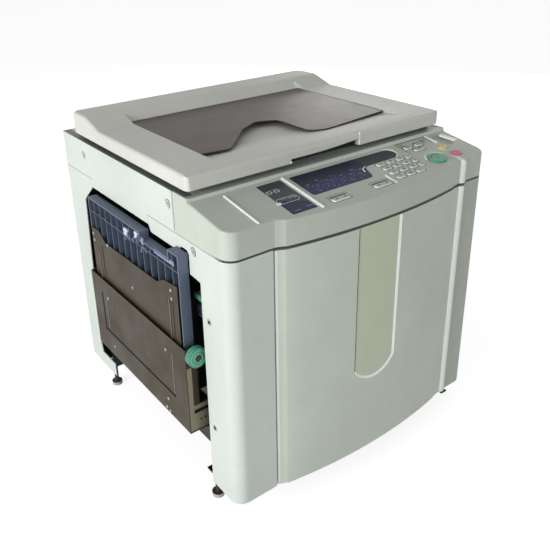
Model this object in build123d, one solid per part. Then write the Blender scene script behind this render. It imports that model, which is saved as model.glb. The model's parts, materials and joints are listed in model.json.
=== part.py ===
from build123d import *
import math
import os

# Digital duplicator with its two paper trays folded up, in millimetres.
# Origin: on the floor, in the middle of the width and depth. +Z is up, and the operator stands at -Y.

# Overall sizes
body_width = 640.0
body_depth = 670.0
front_bulge = 27.0
tray_proud = 29.0
cover_bottom = 64.0
base_top = 648.0
base_height = 78.0
seam_gap = 1.0
door_seam_gap = 2.0
wall = 3.0
corner_radius = 25.0

# Clearances
running = 0.06
seat = 0.3
key_gap = 0.4
tray_face_gap = 0.6

# Derived planes of the body
half_width = body_width / 2
crown_y = -body_depth / 2
rear_y = body_depth / 2
front_y = crown_y + front_bulge
tray_outer = half_width + tray_proud
seam_height = base_top - base_height
panel_bottom = seam_height + seam_gap

# Control panel
panel_slope = 9.62
panel_front_height = base_top - 26.0
panel_front_y = front_y - 2.0
panel_back_y = panel_front_y + 115.0
panel_side_back = panel_back_y + 51.0

# Scanner base and lid
glass_length = 450.0
glass_width = 310.0
glass_thick = 4.0
glass_rest = 1.0
glass_shelf = 4.0
glass_centre_y = (panel_back_y + rear_y) / 2 - 25.0
lid_gap = 10.0
lid_width = body_width - 8.0
lid_front_y = panel_back_y + 5.0
lid_back_y = rear_y - 50.0
lid_height = 26.0
lid_rise = 18.0
lid_rise_start = lid_back_y - 127.0
lid_rise_length = 58.0
lid_bottom = base_top + lid_gap
lid_top = lid_bottom + lid_height
lid_back_top = lid_top + lid_rise


def block(x, y, z):
    """Box between two corners, each axis given as a (low, high) pair."""
    sizes = [high - low for low, high in (x, y, z)]
    centre = [(low + high) / 2 for low, high in (x, y, z)]
    return Pos(*centre) * Box(*sizes)


def bar_x(y, z, radius, x):
    """Round bar along X."""
    return Pos((x[0] + x[1]) / 2, y, z) * Rot(0, 90, 0) * Cylinder(radius, x[1] - x[0])


def bar_y(x, z, radius, y):
    """Round bar along Y."""
    return Pos(x, (y[0] + y[1]) / 2, z) * Rot(90, 0, 0) * Cylinder(radius, y[1] - y[0])


def bar_z(x, y, radius, z):
    """Round bar along Z."""
    return Pos(x, y, (z[0] + z[1]) / 2) * Cylinder(radius, z[1] - z[0])


def pair(first, second):
    """Two values in rising order."""
    return (min(first, second), max(first, second))


def side_plate(points, x):
    """Plate between two x planes with a (y, z) outline."""
    face = Plane.YZ * make_face(Polyline(*points, close=True))
    return Pos(x[0], 0, 0) * extrude(face, amount=x[1] - x[0])


def plan_prism(points, radii, z):
    """Upright prism with a rounded (x, y) outline."""
    face = make_face(FilletPolyline(*points, radius=radii, close=True))
    return Pos(0, 0, z[0]) * extrude(face, amount=z[1] - z[0])


def front_prism(points, radii, y):
    """Prism along Y with a rounded (x, z) outline."""
    face = Plane.XZ * make_face(FilletPolyline(*points, radius=radii, close=True))
    return Pos(0, y[0], 0) * extrude(face, amount=y[0] - y[1])


# Front plan: two flat corner columns and a door that swells out between them
door_left = -half_width + 94.0
door_right = half_width - 65.0
column_gap = 3.0
bulge_half = -door_left - 19.0
bulge_drop = 18.0
ramp_sag = 1.5
valley_x = door_right - 19.0
valley_out = 3.5
ridge_x = door_right - 9.0
ridge_out = 7.5
ridge_end_x = door_right - 2.0


def front_region(inset, back):
    """Plan of the whole front, its curve moved in by inset and closed at y = back."""
    side = half_width - inset
    flat = front_y + inset
    radius = corner_radius - inset
    shoulder = crown_y + bulge_drop + inset
    foot_left = door_left - column_gap
    foot_right = door_right + column_gap
    middle_left = ((foot_left - bulge_half) / 2, (flat + shoulder) / 2 + ramp_sag)
    middle_right = ((bulge_half + valley_x) / 2, (shoulder + flat - valley_out) / 2 + ramp_sag)
    bevel = radius * (1 - math.sqrt(0.5))
    edges = [
        Line((-side, back), (-side, flat + radius)),
        ThreePointArc((-side, flat + radius), (-side + bevel, flat + bevel), (-side + radius, flat)),
        Line((-side + radius, flat), (foot_left, flat)),
        ThreePointArc((foot_left, flat), middle_left, (-bulge_half, shoulder)),
        ThreePointArc((-bulge_half, shoulder), (0, crown_y + inset), (bulge_half, shoulder)),
        ThreePointArc((bulge_half, shoulder), middle_right, (valley_x, flat - valley_out)),
        ThreePointArc((valley_x, flat - valley_out), (ridge_x, flat - ridge_out),
                      (ridge_end_x, flat - valley_out)),
        Line((ridge_end_x, flat - valley_out), (foot_right, flat)),
        Line((foot_right, flat), (side - radius, flat)),
        ThreePointArc((side - radius, flat), (side - bevel, flat + bevel), (side, flat + radius)),
        Line((side, flat + radius), (side, back)),
        Line((side, back), (-side, back)),
    ]
    return make_face(edges)


def front_solid(inset, back, z):
    """Front plan stood up between two heights."""
    return Pos(0, 0, z[0]) * extrude(front_region(inset, back), amount=z[1] - z[0])


# Corner columns and side covers
column_back = front_y + 86.0
column_lip = 9.0
opening_top = seam_height - 18.0
opening_step_y = -45.0
rear_seam_y = rear_y - 132.0
screw_cap_radius = 6.5
screw_cap_depth = 1.2
cover_inner = half_width - wall

# Heights and depths of the left opening's stepped upper edge, from front to back
opening_edge = [
    (column_back, seam_height - 66.0), (column_back + 33.0, seam_height - 63.0),
    (column_back + 33.0, seam_height - 25.0), (column_back + 39.0, seam_height - 19.0),
    (column_back + 57.0, seam_height - 19.0), (column_back + 72.0, seam_height - 29.0),
    (column_back + 89.0, seam_height - 31.0), (opening_step_y - 9.0, seam_height - 31.0),
    (opening_step_y, opening_top),
]
rear_cover_edge = [
    (rear_seam_y + 3.0, cover_bottom + 34.0), (rear_seam_y + 69.0, cover_bottom + 34.0),
    (rear_seam_y + 75.0, cover_bottom + 66.0), (rear_seam_y + 52.0, opening_top - 44.0),
    (rear_seam_y + 47.0, opening_top - 38.0),
]
cap_places_upper = [(rear_y - 104.0, base_top - 31.0), (panel_side_back + 16.0, base_top - 28.0)]
cap_places_front = [(column_back + 17.0, seam_height - 14.0), (column_back - 21.0, seam_height - 134.0),
                    (column_back - 19.0, cover_bottom + 143.0)]


def cap_hole(y, z):
    """Round recess for a screw cap in the left covers."""
    return bar_x(y, z, screw_cap_radius + key_gap, (-half_width - 1, -half_width + screw_cap_depth))


def column_shell(x):
    """Rounded corner column wall between two x planes."""
    z = (cover_bottom, seam_height)
    shell = front_solid(0, column_back, z) - front_solid(wall, column_back + 1, z)
    return shell & block(x, (crown_y, column_back), z)


def left_front_cover():
    column = column_shell((-half_width, door_left - column_gap))
    outline = opening_edge + [(opening_step_y, seam_height), (column_back, seam_height)]
    strip = side_plate(outline, (-half_width, -cover_inner))
    lip_z = (cover_bottom, opening_edge[0][1])
    lip = block((-cover_inner, -cover_inner + column_lip), (column_back - wall, column_back), lip_z)
    cover = column + strip + lip
    for y, z in cap_places_front:
        cover -= cap_hole(y, z)
    return cover


def left_upper_cover():
    top = base_top
    low = panel_bottom
    edge_y = rear_seam_y
    step = opening_step_y + seam_gap
    front = panel_side_back + seam_gap
    outline = [(front, low), (step, low), (step, opening_top), (edge_y, opening_top),
               (edge_y, low), (rear_y, low), (rear_y, top), (front, top)]
    cover = side_plate(outline, (-half_width, -cover_inner))
    lip_x = (-cover_inner, -cover_inner + column_lip)
    cover += block(lip_x, (step, edge_y), (opening_top, opening_top + wall))
    for y, z in cap_places_upper:
        cover -= cap_hole(y, z)
    return cover


def left_rear_cover():
    edge_y = rear_seam_y + seam_gap
    outline = [(rear_y, cover_bottom), (rear_y, seam_height), (edge_y, seam_height), (edge_y, opening_top)]
    outline += list(reversed(rear_cover_edge)) + [(rear_cover_edge[0][0], cover_bottom)]
    return side_plate(outline, (-half_width, -cover_inner))


# Power switch in the right column
switch_y = front_y + 41.5
switch_z = seam_height - 90.0
switch_width = 18.0
switch_height = 28.0
switch_depth = 14.0
switch_end_gap = 1.2


def right_front_cover():
    cover = column_shell((door_right + column_gap, half_width))
    hole_y = (switch_y - switch_width / 2 - key_gap, switch_y + switch_width / 2 + key_gap)
    hole_half = switch_height / 2 + switch_end_gap
    hole_z = (switch_z - hole_half, switch_z + hole_half)
    cover -= block((cover_inner - 1, half_width + 1), hole_y, hole_z)
    cheek_x = (cover_inner - switch_depth, cover_inner)
    cheek_z = (switch_z - 5, switch_z + 5)
    for low in (hole_y[0] - wall, hole_y[1]):
        cover += block(cheek_x, (low, low + wall), cheek_z)
    pivot_y = (hole_y[0] - wall - 1, hole_y[1] + wall + 1)
    return cover - bar_y(switch_pivot_x, switch_z, switch_pin + running, pivot_y)


switch_pin = 1.6
switch_root = 8.0
switch_pivot_x = cover_inner - 6.0


def power_switch():
    """Rocker with a vee face, turned on its own two stub pins."""
    low, high = switch_z - switch_height / 2, switch_z + switch_height / 2
    face = half_width + 1.0
    back = cover_inner - switch_root
    outline = [(back, switch_z - switch_root), (face - 2, low + 1), (face, low + 1.5), (face - 2, switch_z),
               (face + 1.5, high - 1.5), (face, high - 1), (back, switch_z + switch_root)]
    y = (switch_y - switch_width / 2, switch_y + switch_width / 2)
    rocker = front_prism(outline, [0.5] * len(outline), y)
    reach = switch_width / 2 + key_gap + wall
    return rocker + bar_y(switch_pivot_x, switch_z, switch_pin, (switch_y - reach, switch_y + reach))


# Tray positions shared by the feed and the receiving side
tray_half = -column_back - 36.0
bracket_half = tray_half + 14.0
hinge_pin = 4.0
hinge_hub = 8.0
right_hinge_x = half_width + 12.0
right_hinge_z = 165.0
ear_thick = 6.0
exit_half = tray_half + 6.0
exit_low = 140.0
exit_high = seam_height - 118.0
right_tray_top = exit_high + 10.0

# Master disposal box, which draws out above the receiving tray
box_half = tray_half - 29.0
box_high = seam_height - 12.0
box_low = box_high - 85.0
box_depth = 170.0
box_wall = 2.5


def right_side_cover():
    front = column_back + seam_gap
    outline = [(front, cover_bottom), (rear_y, cover_bottom), (rear_y, seam_height), (front, seam_height)]
    cover = side_plate(outline, (cover_inner, half_width))
    through = (cover_inner - 1, half_width + 1)
    cover -= block(through, (-exit_half, exit_half), (exit_low, exit_high))
    slot = box_half + seam_gap
    cover -= block(through, (-slot, slot), (box_low - seam_gap, box_high + seam_gap))
    inner = tray_half + 2 * seam_gap
    tab_z = (right_hinge_z - hinge_hub, right_hinge_z + hinge_hub)
    root_z = (right_hinge_z - 2 * hinge_hub, right_hinge_z + 2 * hinge_hub)
    for sign in (-1, 1):
        ear_y = pair(sign * inner, sign * (inner + ear_thick))
        ear = block((cover_inner, right_hinge_x), ear_y, tab_z)
        ear += bar_y(right_hinge_x, right_hinge_z, hinge_hub, ear_y)
        ear += block((cover_inner, half_width), pair(sign * inner, sign * (exit_half + wall)), root_z)
        cover += ear
        cover -= bar_y(right_hinge_x, right_hinge_z, hinge_pin + running, (ear_y[0] - 1, ear_y[1] + 1))
    return cover


# Rear cover with its vents and power inlet
vent_length = 70.0
vent_height = 4.0
vent_pitch = 10.0
vent_count = 14
vent_columns = [-190.0, -90.0, 190.0]
vent_low = seam_height - 190.0
inlet_x = 230.0
inlet_z = 130.0
inlet_width = 28.0
inlet_height = 21.0
inlet_depth = 18.0
inlet_pin_pitch = 7.0


def rear_cover():
    side = half_width - wall - seam_gap / 2
    cover = block((-side, side), (rear_y - wall, rear_y), (cover_bottom, seam_height))
    through = (rear_y - wall - 1, rear_y + 1)
    for x in vent_columns:
        for row in range(vent_count):
            z = vent_low + row * vent_pitch
            cover -= block((x - vent_length / 2, x + vent_length / 2), through, (z, z + vent_height))
    x = (inlet_x - inlet_width / 2, inlet_x + inlet_width / 2)
    z = (inlet_z - inlet_height / 2, inlet_z + inlet_height / 2)
    socket_y = (rear_y - inlet_depth - wall, rear_y - wall)
    cover += block((x[0] - wall, x[1] + wall), socket_y, (z[0] - wall, z[1] + wall))
    cover -= block(x, (rear_y - inlet_depth, rear_y + 1), z)
    for step in (-1, 0, 1):
        pin_y = (rear_y - inlet_depth - 1, rear_y - wall)
        cover += bar_y(inlet_x + step * inlet_pin_pitch, inlet_z, 1.5, pin_y)
    return cover


# Steel frame
steel = 3.0
frame_front_y = front_y + 56.0
frame_back_y = rear_y - 49.0
tray_side_x = half_width - 12.0
feed_side_x = -half_width + 58.0
outrigger_half = 18.0
tray_front_y = front_y + 12.0
base_floor = cover_bottom - 4.0
base_rim = base_floor + 38.0
frame_top = seam_height - 2.0
stay = 20.0
stay_high = seam_height - 30.0
stay_low = base_rim + 12.0
stay_places = [(-285.0, stay_high), (120.0, stay_high), (-120.0, stay_low), (150.0, stay_low)]
shelf_x = 145.0

# Print drum and its working parts
drum_x = 30.0
drum_z = seam_height - 170.0
drum_radius = 90.0
drum_skin = 3.0
drum_front = frame_front_y + 6.0
drum_back = frame_back_y - 36.0
drum_shaft = 12.0
drum_door = 118.0
gear_module = 3.0
drum_teeth = 56
pinion_teeth = 14
gear_width = 12.0
pinion_angle = -35.0
roller_radius = 15.0
roller_gap = 4.0
swing_x = 130.0
swing_shaft = 6.0
master_x = -150.0
master_z = seam_height - 90.0
master_radius = 40.0
master_shaft = 8.0
pickup_x = -222.0
pickup_z = seam_height - 252.0
pickup_half = 40.0
pickup_radius = 16.0
pickup_shaft = 5.0

# Feed elevator
rod_x = -250.0
rod_y = bracket_half - 20.0
rod_radius = 6.0
rod_top = seam_height - 86.0
feed_hinge_x = -half_width - 12.0
feed_hinge_z = 192.0
stub_x = -half_width + 26.0
lever_z = seam_height - 118.0
dial_low_z = feed_hinge_z + 70.0
stub_radius = 4.0
stub_end_y = -bracket_half - 7.0
door_hinge_x = door_right - 3.5
door_hinge_y = front_y - 1.5
door_pin = 2.0

gear_distance = gear_module * (drum_teeth + pinion_teeth) / 2
pinion_x = drum_x + gear_distance * math.cos(math.radians(pinion_angle))
pinion_z = drum_z + gear_distance * math.sin(math.radians(pinion_angle))
roller_z = drum_z - drum_radius - roller_gap - roller_radius
frame_inner_front = frame_front_y + steel
front_plate_y = (frame_front_y, frame_inner_front)
back_plate_y = (frame_back_y, frame_back_y + steel)


def bearing_cuts():
    """Shaft holes that pass through both frame plates."""
    span = (frame_front_y - 1, frame_back_y + steel + 1)
    shafts = [(swing_x, roller_z, swing_shaft), (master_x, master_z, master_shaft),
              (pickup_x, pickup_z, pickup_shaft)]
    return [bar_y(x, z, radius + running, span) for x, z, radius in shafts]


def main_frame():
    reach = half_width - wall
    back = rear_y - 2 * wall
    frame = block((feed_side_x, tray_side_x), (tray_front_y, back), (base_floor, base_rim))
    frame -= block((feed_side_x + steel, tray_side_x - steel), (tray_front_y + steel, back - steel),
                   (base_floor + steel, base_rim + 1))
    for y in (foot_front_y, foot_back_y):
        arm_y = (y - outrigger_half, y + outrigger_half)
        frame += block((-tray_side_x, feed_side_x + 1), arm_y, (base_floor, base_floor + steel))
        frame += block((-tray_side_x, feed_side_x + 1), (arm_y[0], arm_y[0] + steel), (base_floor, base_rim))
    for plate_y in (front_plate_y, back_plate_y):
        plate = block((-reach, reach), plate_y, (base_floor, frame_top))
        foot = (base_floor - 1, cover_bottom + 1)
        for sign in (-1, 1):
            toe = (tray_side_x, reach + 1) if sign > 0 else (-reach - 1, -tray_side_x)
            plate -= block(toe, (plate_y[0] - 1, plate_y[1] + 1), foot)
        frame += plate
    for x, z in stay_places:
        half = stay / 2
        frame += block((x - half, x + half), (frame_inner_front, frame_back_y), (z - half, z + half))
    shelf_top = box_low - seat
    frame += block((shelf_x, reach), (frame_inner_front, frame_back_y), (shelf_top - steel, shelf_top))
    for sign in (-1, 1):
        frame += bar_z(rod_x, sign * rod_y, rod_radius, (base_floor, rod_top))
    rod_bracket_z = (rod_top - 2 * steel, rod_top)
    bracket_x = (rod_x - 2 * rod_radius, rod_x + 2 * rod_radius)
    frame += block(bracket_x, (frame_inner_front, -rod_y + 2 * rod_radius), rod_bracket_z)
    frame += block(bracket_x, (rod_y - 2 * rod_radius, frame_back_y), rod_bracket_z)
    for z in (lever_z, dial_low_z):
        frame += bar_y(stub_x, z, stub_radius, (frame_inner_front, stub_end_y))
    pin_plate_y = (door_hinge_y - 3 * door_pin, tray_front_y)
    pin_plate_x = (door_hinge_x - 5 * door_pin, door_hinge_x + 3 * door_pin)
    frame += block(pin_plate_x, pin_plate_y, (base_floor, base_floor + steel))
    frame -= bar_z(door_hinge_x, door_hinge_y, door_pin + running, (base_floor - 1, base_floor + steel + 1))
    frame -= bar_y(drum_x, drum_z, drum_door, (frame_front_y - 1, frame_inner_front + 1))
    frame -= bar_y(drum_x, drum_z, drum_shaft + running, (frame_back_y - 1, frame_back_y + steel + 1))
    frame -= bar_y(pinion_x, pinion_z, motor_shaft + 2, (frame_back_y - 1, frame_back_y + steel + 1))
    for cut in bearing_cuts():
        frame -= cut
    return frame


# Levelling feet
foot_x = half_width - 23.0
foot_front_y = front_y + 108.0
foot_back_y = rear_y - 73.0
foot_pad = 12.5
foot_pad_height = 9.0
foot_stem = 5.0
foot_nut = 9.0


def levelling_feet():
    """Four feet: a pad, a threaded stem and a lock nut under the frame."""
    feet = []
    for x in (-foot_x, foot_x):
        for y in (foot_front_y, foot_back_y):
            foot = bar_z(x, y, foot_pad, (0, foot_pad_height))
            foot += bar_z(x, y, foot_stem, (foot_pad_height, base_floor))
            nut = RegularPolygon(foot_nut, 6)
            foot += Pos(x, y, base_floor - 6) * extrude(nut, amount=6)
            feet.append(foot)
    return Compound(children=feet)


def cover_screws():
    """Caps over the screws of the left covers."""
    caps = []
    for y, z in cap_places_upper + cap_places_front:
        x = (-half_width, -half_width + screw_cap_depth)
        caps.append(bar_x(y, z, screw_cap_radius, x))
    return Compound(children=caps)


def hinge_pins():
    """Two pins for the lid and two for the front door."""
    pins = []
    for sign in (-1, 1):
        x = sign * lid_hinge_x
        reach = lid_knuckle / 2 + seam_gap + lid_ear
        pins.append(bar_x(lid_hinge_y, lid_hinge_z, lid_pin, (x - reach, x + reach)))
    lower_end = cover_bottom + door_bore_depth
    pins.append(bar_z(door_hinge_x, door_hinge_y, door_pin, (base_floor, lower_end)))
    upper_start = seam_height - door_seam_gap - door_bore_depth
    pins.append(bar_z(door_hinge_x, door_hinge_y, door_pin, (upper_start, panel_bottom + 2 * wall)))
    return Compound(children=pins)


door_bore_depth = 14.0
lid_hinge_x = 220.0
lid_hinge_y = lid_back_y + 6.5
lid_hinge_z = lid_bottom + 4.0
lid_pin = 3.0
lid_knuckle = 18.0
lid_ear = 4.0
lid_ear_radius = 5.5
carriage_rod = 4.0
carriage_rod_z = base_top - 42.0
carriage_front_y = glass_centre_y - 175.0
carriage_back_y = glass_centre_y + 175.0


def glass_block(margin, z):
    """Glass outline, smaller by margin on every side."""
    length = glass_length / 2 - margin
    width = glass_width / 2 - margin
    return block((-length, length), (glass_centre_y - width, glass_centre_y + width), z)


def scanner_base():
    side = half_width - wall
    low = panel_bottom
    skin_front = panel_side_back + seam_gap
    shell = block((-side, side), (panel_back_y, rear_y), (low, base_top))
    shell += block((side - 1, half_width), (skin_front, rear_y), (low, base_top))
    ceiling = base_top - glass_thick - glass_rest
    shell -= block((-side + wall, side - wall), (panel_back_y + wall, rear_y - wall), (low + wall, ceiling))
    shell -= glass_block(glass_shelf, (ceiling - 1, base_top + 1))
    shell -= glass_block(0, (base_top - glass_thick, base_top + 1))
    for y in (carriage_front_y, carriage_back_y):
        shell += bar_x(y, carriage_rod_z, carriage_rod, (-side + wall - 1, side - wall + 1))
    for sign in (-1, 1):
        for way in (-1, 1):
            inner = sign * lid_hinge_x + way * (lid_knuckle / 2 + seam_gap)
            x = pair(inner, inner + way * lid_ear)
            ear_y = (lid_hinge_y - lid_ear_radius, lid_hinge_y + lid_ear_radius)
            ear = bar_x(lid_hinge_y, lid_hinge_z, lid_ear_radius, x)
            ear += block(x, ear_y, (base_top - 1, lid_hinge_z))
            shell += ear - bar_x(lid_hinge_y, lid_hinge_z, lid_pin + running, (x[0] - 1, x[1] + 1))
    return shell


def platen_glass():
    return glass_block(seat, (base_top - glass_thick, base_top))


carriage_width = 30.0
carriage_height = 36.0
carriage_start = -half_width + 35.0


def scanner_carriage():
    """Scanning bar with its lamp slot, on two round rails."""
    x = (carriage_start - carriage_width / 2, carriage_start + carriage_width / 2)
    y = (carriage_front_y - 12, carriage_back_y + 12)
    z = (carriage_rod_z - 12, carriage_rod_z - 12 + carriage_height)
    bar = block(x, y, z)
    slot_x = (carriage_start - 5, carriage_start + 5)
    bar -= block(slot_x, (carriage_front_y + 20, carriage_back_y - 20), (z[1] - 10, z[1] + 1))
    for rail_y in (carriage_front_y, carriage_back_y):
        bar -= bar_x(rail_y, carriage_rod_z, carriage_rod + running, (x[0] - 1, x[1] + 1))
    return bar


# Control panel surface: x across, s up the slope from the front line
slope = math.radians(panel_slope)
panel_plane = Plane(
    origin=(0, panel_front_y, panel_front_height),
    x_dir=(1, 0, 0),
    z_dir=(0, -math.sin(slope), math.cos(slope)),
)
panel_back_height = panel_front_height + (panel_back_y - panel_front_y) * math.tan(slope)
window_deep = 1.6
window_set = 0.3
key_proud = 2.4
key_flange = 1.5
key_flange_thick = 1.0
key_edge = 0.7

display_points = [(-115.0, 34.0), (30.0, 34.0), (42.0, 71.0), (142.0, 73.0), (142.0, 106.0), (-115.0, 106.0)]
display_radii = [6.0, 12.0, 14.0, 15.0, 15.0, 3.0]
mode_points = [(-187.0, 1.0), (-133.0, 1.0), (-133.0, 107.0), (-187.0, 107.0)]
mode_radii = [2.0, 2.0, 2.0, 2.0]
function_field = [(166.0, 68.0), (214.0, 68.0), (252.0, 80.0), (252.0, 113.0), (166.0, 113.0)]
function_radii = [3.0, 20.0, 3.0, 3.0, 3.0]
trough_centre = (283.0, 85.5)
trough_size = (35.0, 49.0)
trough_corner = 14.0
trough_deep = 7.0
ribs = [(-254.0, 6.0, 106.0, 3.0, 2.2), (-127.0, -6.0, 110.0, 4.0, 2.4),
        (254.5, 78.0, 112.0, 2.5, 1.8), (52.0, -4.0, 27.0, 2.0, 1.4)]

number_columns = 3
number_rows = 4
number_x = 76.0
number_s = 9.2
number_pitch_x = 26.2
number_pitch_s = 17.8
number_size = (21.0, 10.0)
side_keys = [(150.0, 26.0), (150.0, 44.0), (150.0, 62.0)]
side_key_size = (15.0, 11.0)
function_key_places = [(180.0, 90.0), (212.0, 91.0), (198.0, 74.5)]
function_key_sizes = [(21.0, 10.5), (21.0, 10.5), (31.0, 8.5)]
rocker_places = [(-80.0, 3.0), (22.0, 3.0)]
rocker_size = (40.0, 10.0)
start_place = (198.0, 28.0)
start_size = (21.0, 17.5)
stop_place = (250.0, 26.0)
stop_size = (12.5, 11.0)
reset_place = (247.0, 57.0)
reset_size = (8.5, 8.0)


def on_panel(points, radii, depth):
    """Prism sunk into the sloping panel from just above its face."""
    sketch = make_face(FilletPolyline(*points, radius=radii, close=True))
    return panel_plane * Pos(0, 0, -depth) * extrude(sketch, amount=depth + 1)


def key_outline(kind, size, grow):
    """Rounded bar or oval key outline, grown on every side."""
    if kind == "oval":
        return Ellipse(size[0] + grow, size[1] + grow)
    corner = min(size[0] / 2, size[1] / 2) * 0.92 + grow
    return RectangleRounded(size[0] + 2 * grow, size[1] + 2 * grow, corner)


def key_hole(kind, place, size):
    """Hole through the panel for one key."""
    sketch = key_outline(kind, size, key_gap)
    return panel_plane * Pos(place[0], place[1], -wall - 2) * extrude(sketch, amount=wall + 4)


def key_cap(kind, place, size, proud):
    """Key cap with a soft upper edge, held under the panel by its flange."""
    low = -wall - seat - key_flange_thick
    cap = extrude(key_outline(kind, size, 0), amount=proud - low)
    cap = fillet(cap.faces().sort_by(Axis.Z)[-1].edges(), key_edge)
    flange = extrude(key_outline(kind, size, key_flange), amount=key_flange_thick)
    return panel_plane * Pos(place[0], place[1], low) * (cap + flange)


def number_places():
    """Centres of the number keys, left to right in rows from the front."""
    places = []
    for row in range(number_rows):
        for column in range(number_columns):
            places.append((number_x + column * number_pitch_x, number_s + row * number_pitch_s))
    return places


def all_keys():
    """Kind, place and size of every key on the panel."""
    keys = [("bar", place, number_size) for place in number_places()]
    keys += [("bar", place, side_key_size) for place in side_keys]
    keys += [("bar", place, size) for place, size in zip(function_key_places, function_key_sizes)]
    keys += [("bar", place, rocker_size) for place in rocker_places]
    keys += [("oval", start_place, start_size), ("oval", stop_place, stop_size)]
    keys.append(("oval", reset_place, reset_size))
    return keys


def panel_profile(lower, back):
    """Side outline of the panel, its upper face lowered square to the slope."""
    drop = lower / math.cos(slope)
    front = crown_y - 5
    front_z = panel_front_height - (panel_front_y - front) * math.tan(slope) - drop
    back_z = panel_front_height + (back - panel_front_y) * math.tan(slope) - drop
    return [(front, panel_bottom), (front, front_z), (back, back_z), (back, panel_bottom)]


panel_edge = 4.0


def control_panel():
    z = (panel_bottom, base_top)
    width = (-half_width, half_width)
    outer = front_solid(0, panel_back_y, z) & side_plate(panel_profile(0, panel_back_y), width)
    crest_low = panel_front_height - 2 * panel_edge
    crest = [e for e in outer.edges() if e.center().Z > crest_low and e.center().Y < panel_back_y - 1]
    outer = fillet(crest, panel_edge)
    low_z = (panel_bottom - 1, base_top)
    inner = front_solid(wall, panel_back_y + 1, low_z)
    lowered = panel_profile(wall, panel_back_y + 1)
    lowered = [(lowered[0][0], low_z[0])] + lowered[1:3] + [(lowered[3][0], low_z[0])]
    inner = inner & side_plate(lowered, width)
    panel = outer - inner
    for sign in (-1, 1):
        x = (half_width - wall, half_width) if sign > 0 else (-half_width, -half_width + wall)
        flank = [(panel_back_y - 1, panel_bottom), (panel_side_back, panel_bottom),
                 (panel_side_back, base_top), (panel_back_y + 2, base_top),
                 (panel_back_y - 1, panel_back_height - 1)]
        panel += side_plate(flank, x)
    boss_x = (door_hinge_x - 3 * door_pin, door_hinge_x + 3 * door_pin)
    panel += block(boss_x, (door_hinge_y - 0.5 * door_pin, door_hinge_y + 5 * door_pin),
                   (panel_bottom, panel_bottom + 2 * wall))
    pin_z = (panel_bottom - 1, panel_bottom + 2 * wall)
    panel -= bar_z(door_hinge_x, door_hinge_y, door_pin + running, pin_z)
    tub = RectangleRounded(trough_size[0] + 2 * wall, trough_size[1] + 2 * wall, trough_corner + wall)
    place = panel_plane * Pos(trough_centre[0], trough_centre[1], 0)
    panel += place * Pos(0, 0, -trough_deep - wall) * extrude(tub, amount=trough_deep + wall)
    hollow = RectangleRounded(trough_size[0], trough_size[1], trough_corner)
    panel -= place * Pos(0, 0, -trough_deep) * extrude(hollow, amount=trough_deep + 3)
    for x, start, end, width, height in ribs:
        rib = Pos(x, (start + end) / 2, height / 2 - 1) * Box(width, end - start, height + 2)
        panel += panel_plane * rib
    panel -= on_panel(display_points, display_radii, window_deep)
    panel -= on_panel(mode_points, mode_radii, window_deep)
    panel -= on_panel(function_field, function_radii, 0.6)
    for kind, place, size in all_keys():
        panel -= key_hole(kind, place, size)
    return panel


def window(points, radii):
    """Dark window set just below the panel face."""
    sketch = make_face(FilletPolyline(*points, radius=radii, close=True))
    sketch = offset(sketch, -0.15)
    return panel_plane * Pos(0, 0, -window_deep) * extrude(sketch, amount=window_deep - window_set)


def panel_windows():
    return Compound(children=[window(display_points, display_radii), window(mode_points, mode_radii)])


def function_keys():
    """Side keys, function keys and the two rockers, as separate caps."""
    keys = [key_cap("bar", place, side_key_size, key_proud) for place in side_keys]
    for place, size in zip(function_key_places, function_key_sizes):
        keys.append(key_cap("bar", place, size, key_proud))
    keys += [key_cap("bar", place, rocker_size, key_proud) for place in rocker_places]
    return Compound(children=keys)


# Lid
recess_left = -232.0
recess_right = 229.0
recess_front = lid_front_y + 40.0
recess_floor = 14.0
recess_slope_end = lid_front_y + 128.0
recess_back = lid_back_y - 109.0
recess_back_top = lid_back_y - 79.0
plate_thick = 2.5
plate_below = 3.3
ledge = 5.0
lid_rim = 12.0
notch_left = -95.0
notch_right = 75.0
notch_deep = 22.0
notch_high = 15.0


def lid_profile():
    """Side outline of the lid with its raised back."""
    points = [(lid_front_y, lid_bottom), (lid_front_y, lid_top), (lid_rise_start, lid_top),
              (lid_rise_start + lid_rise_length, lid_back_top), (lid_back_y, lid_back_top),
              (lid_back_y, lid_bottom)]
    return Plane.YZ * make_face(FilletPolyline(*points, radius=[0.5, 6, 34, 34, 8, 0.5], close=True))


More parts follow.
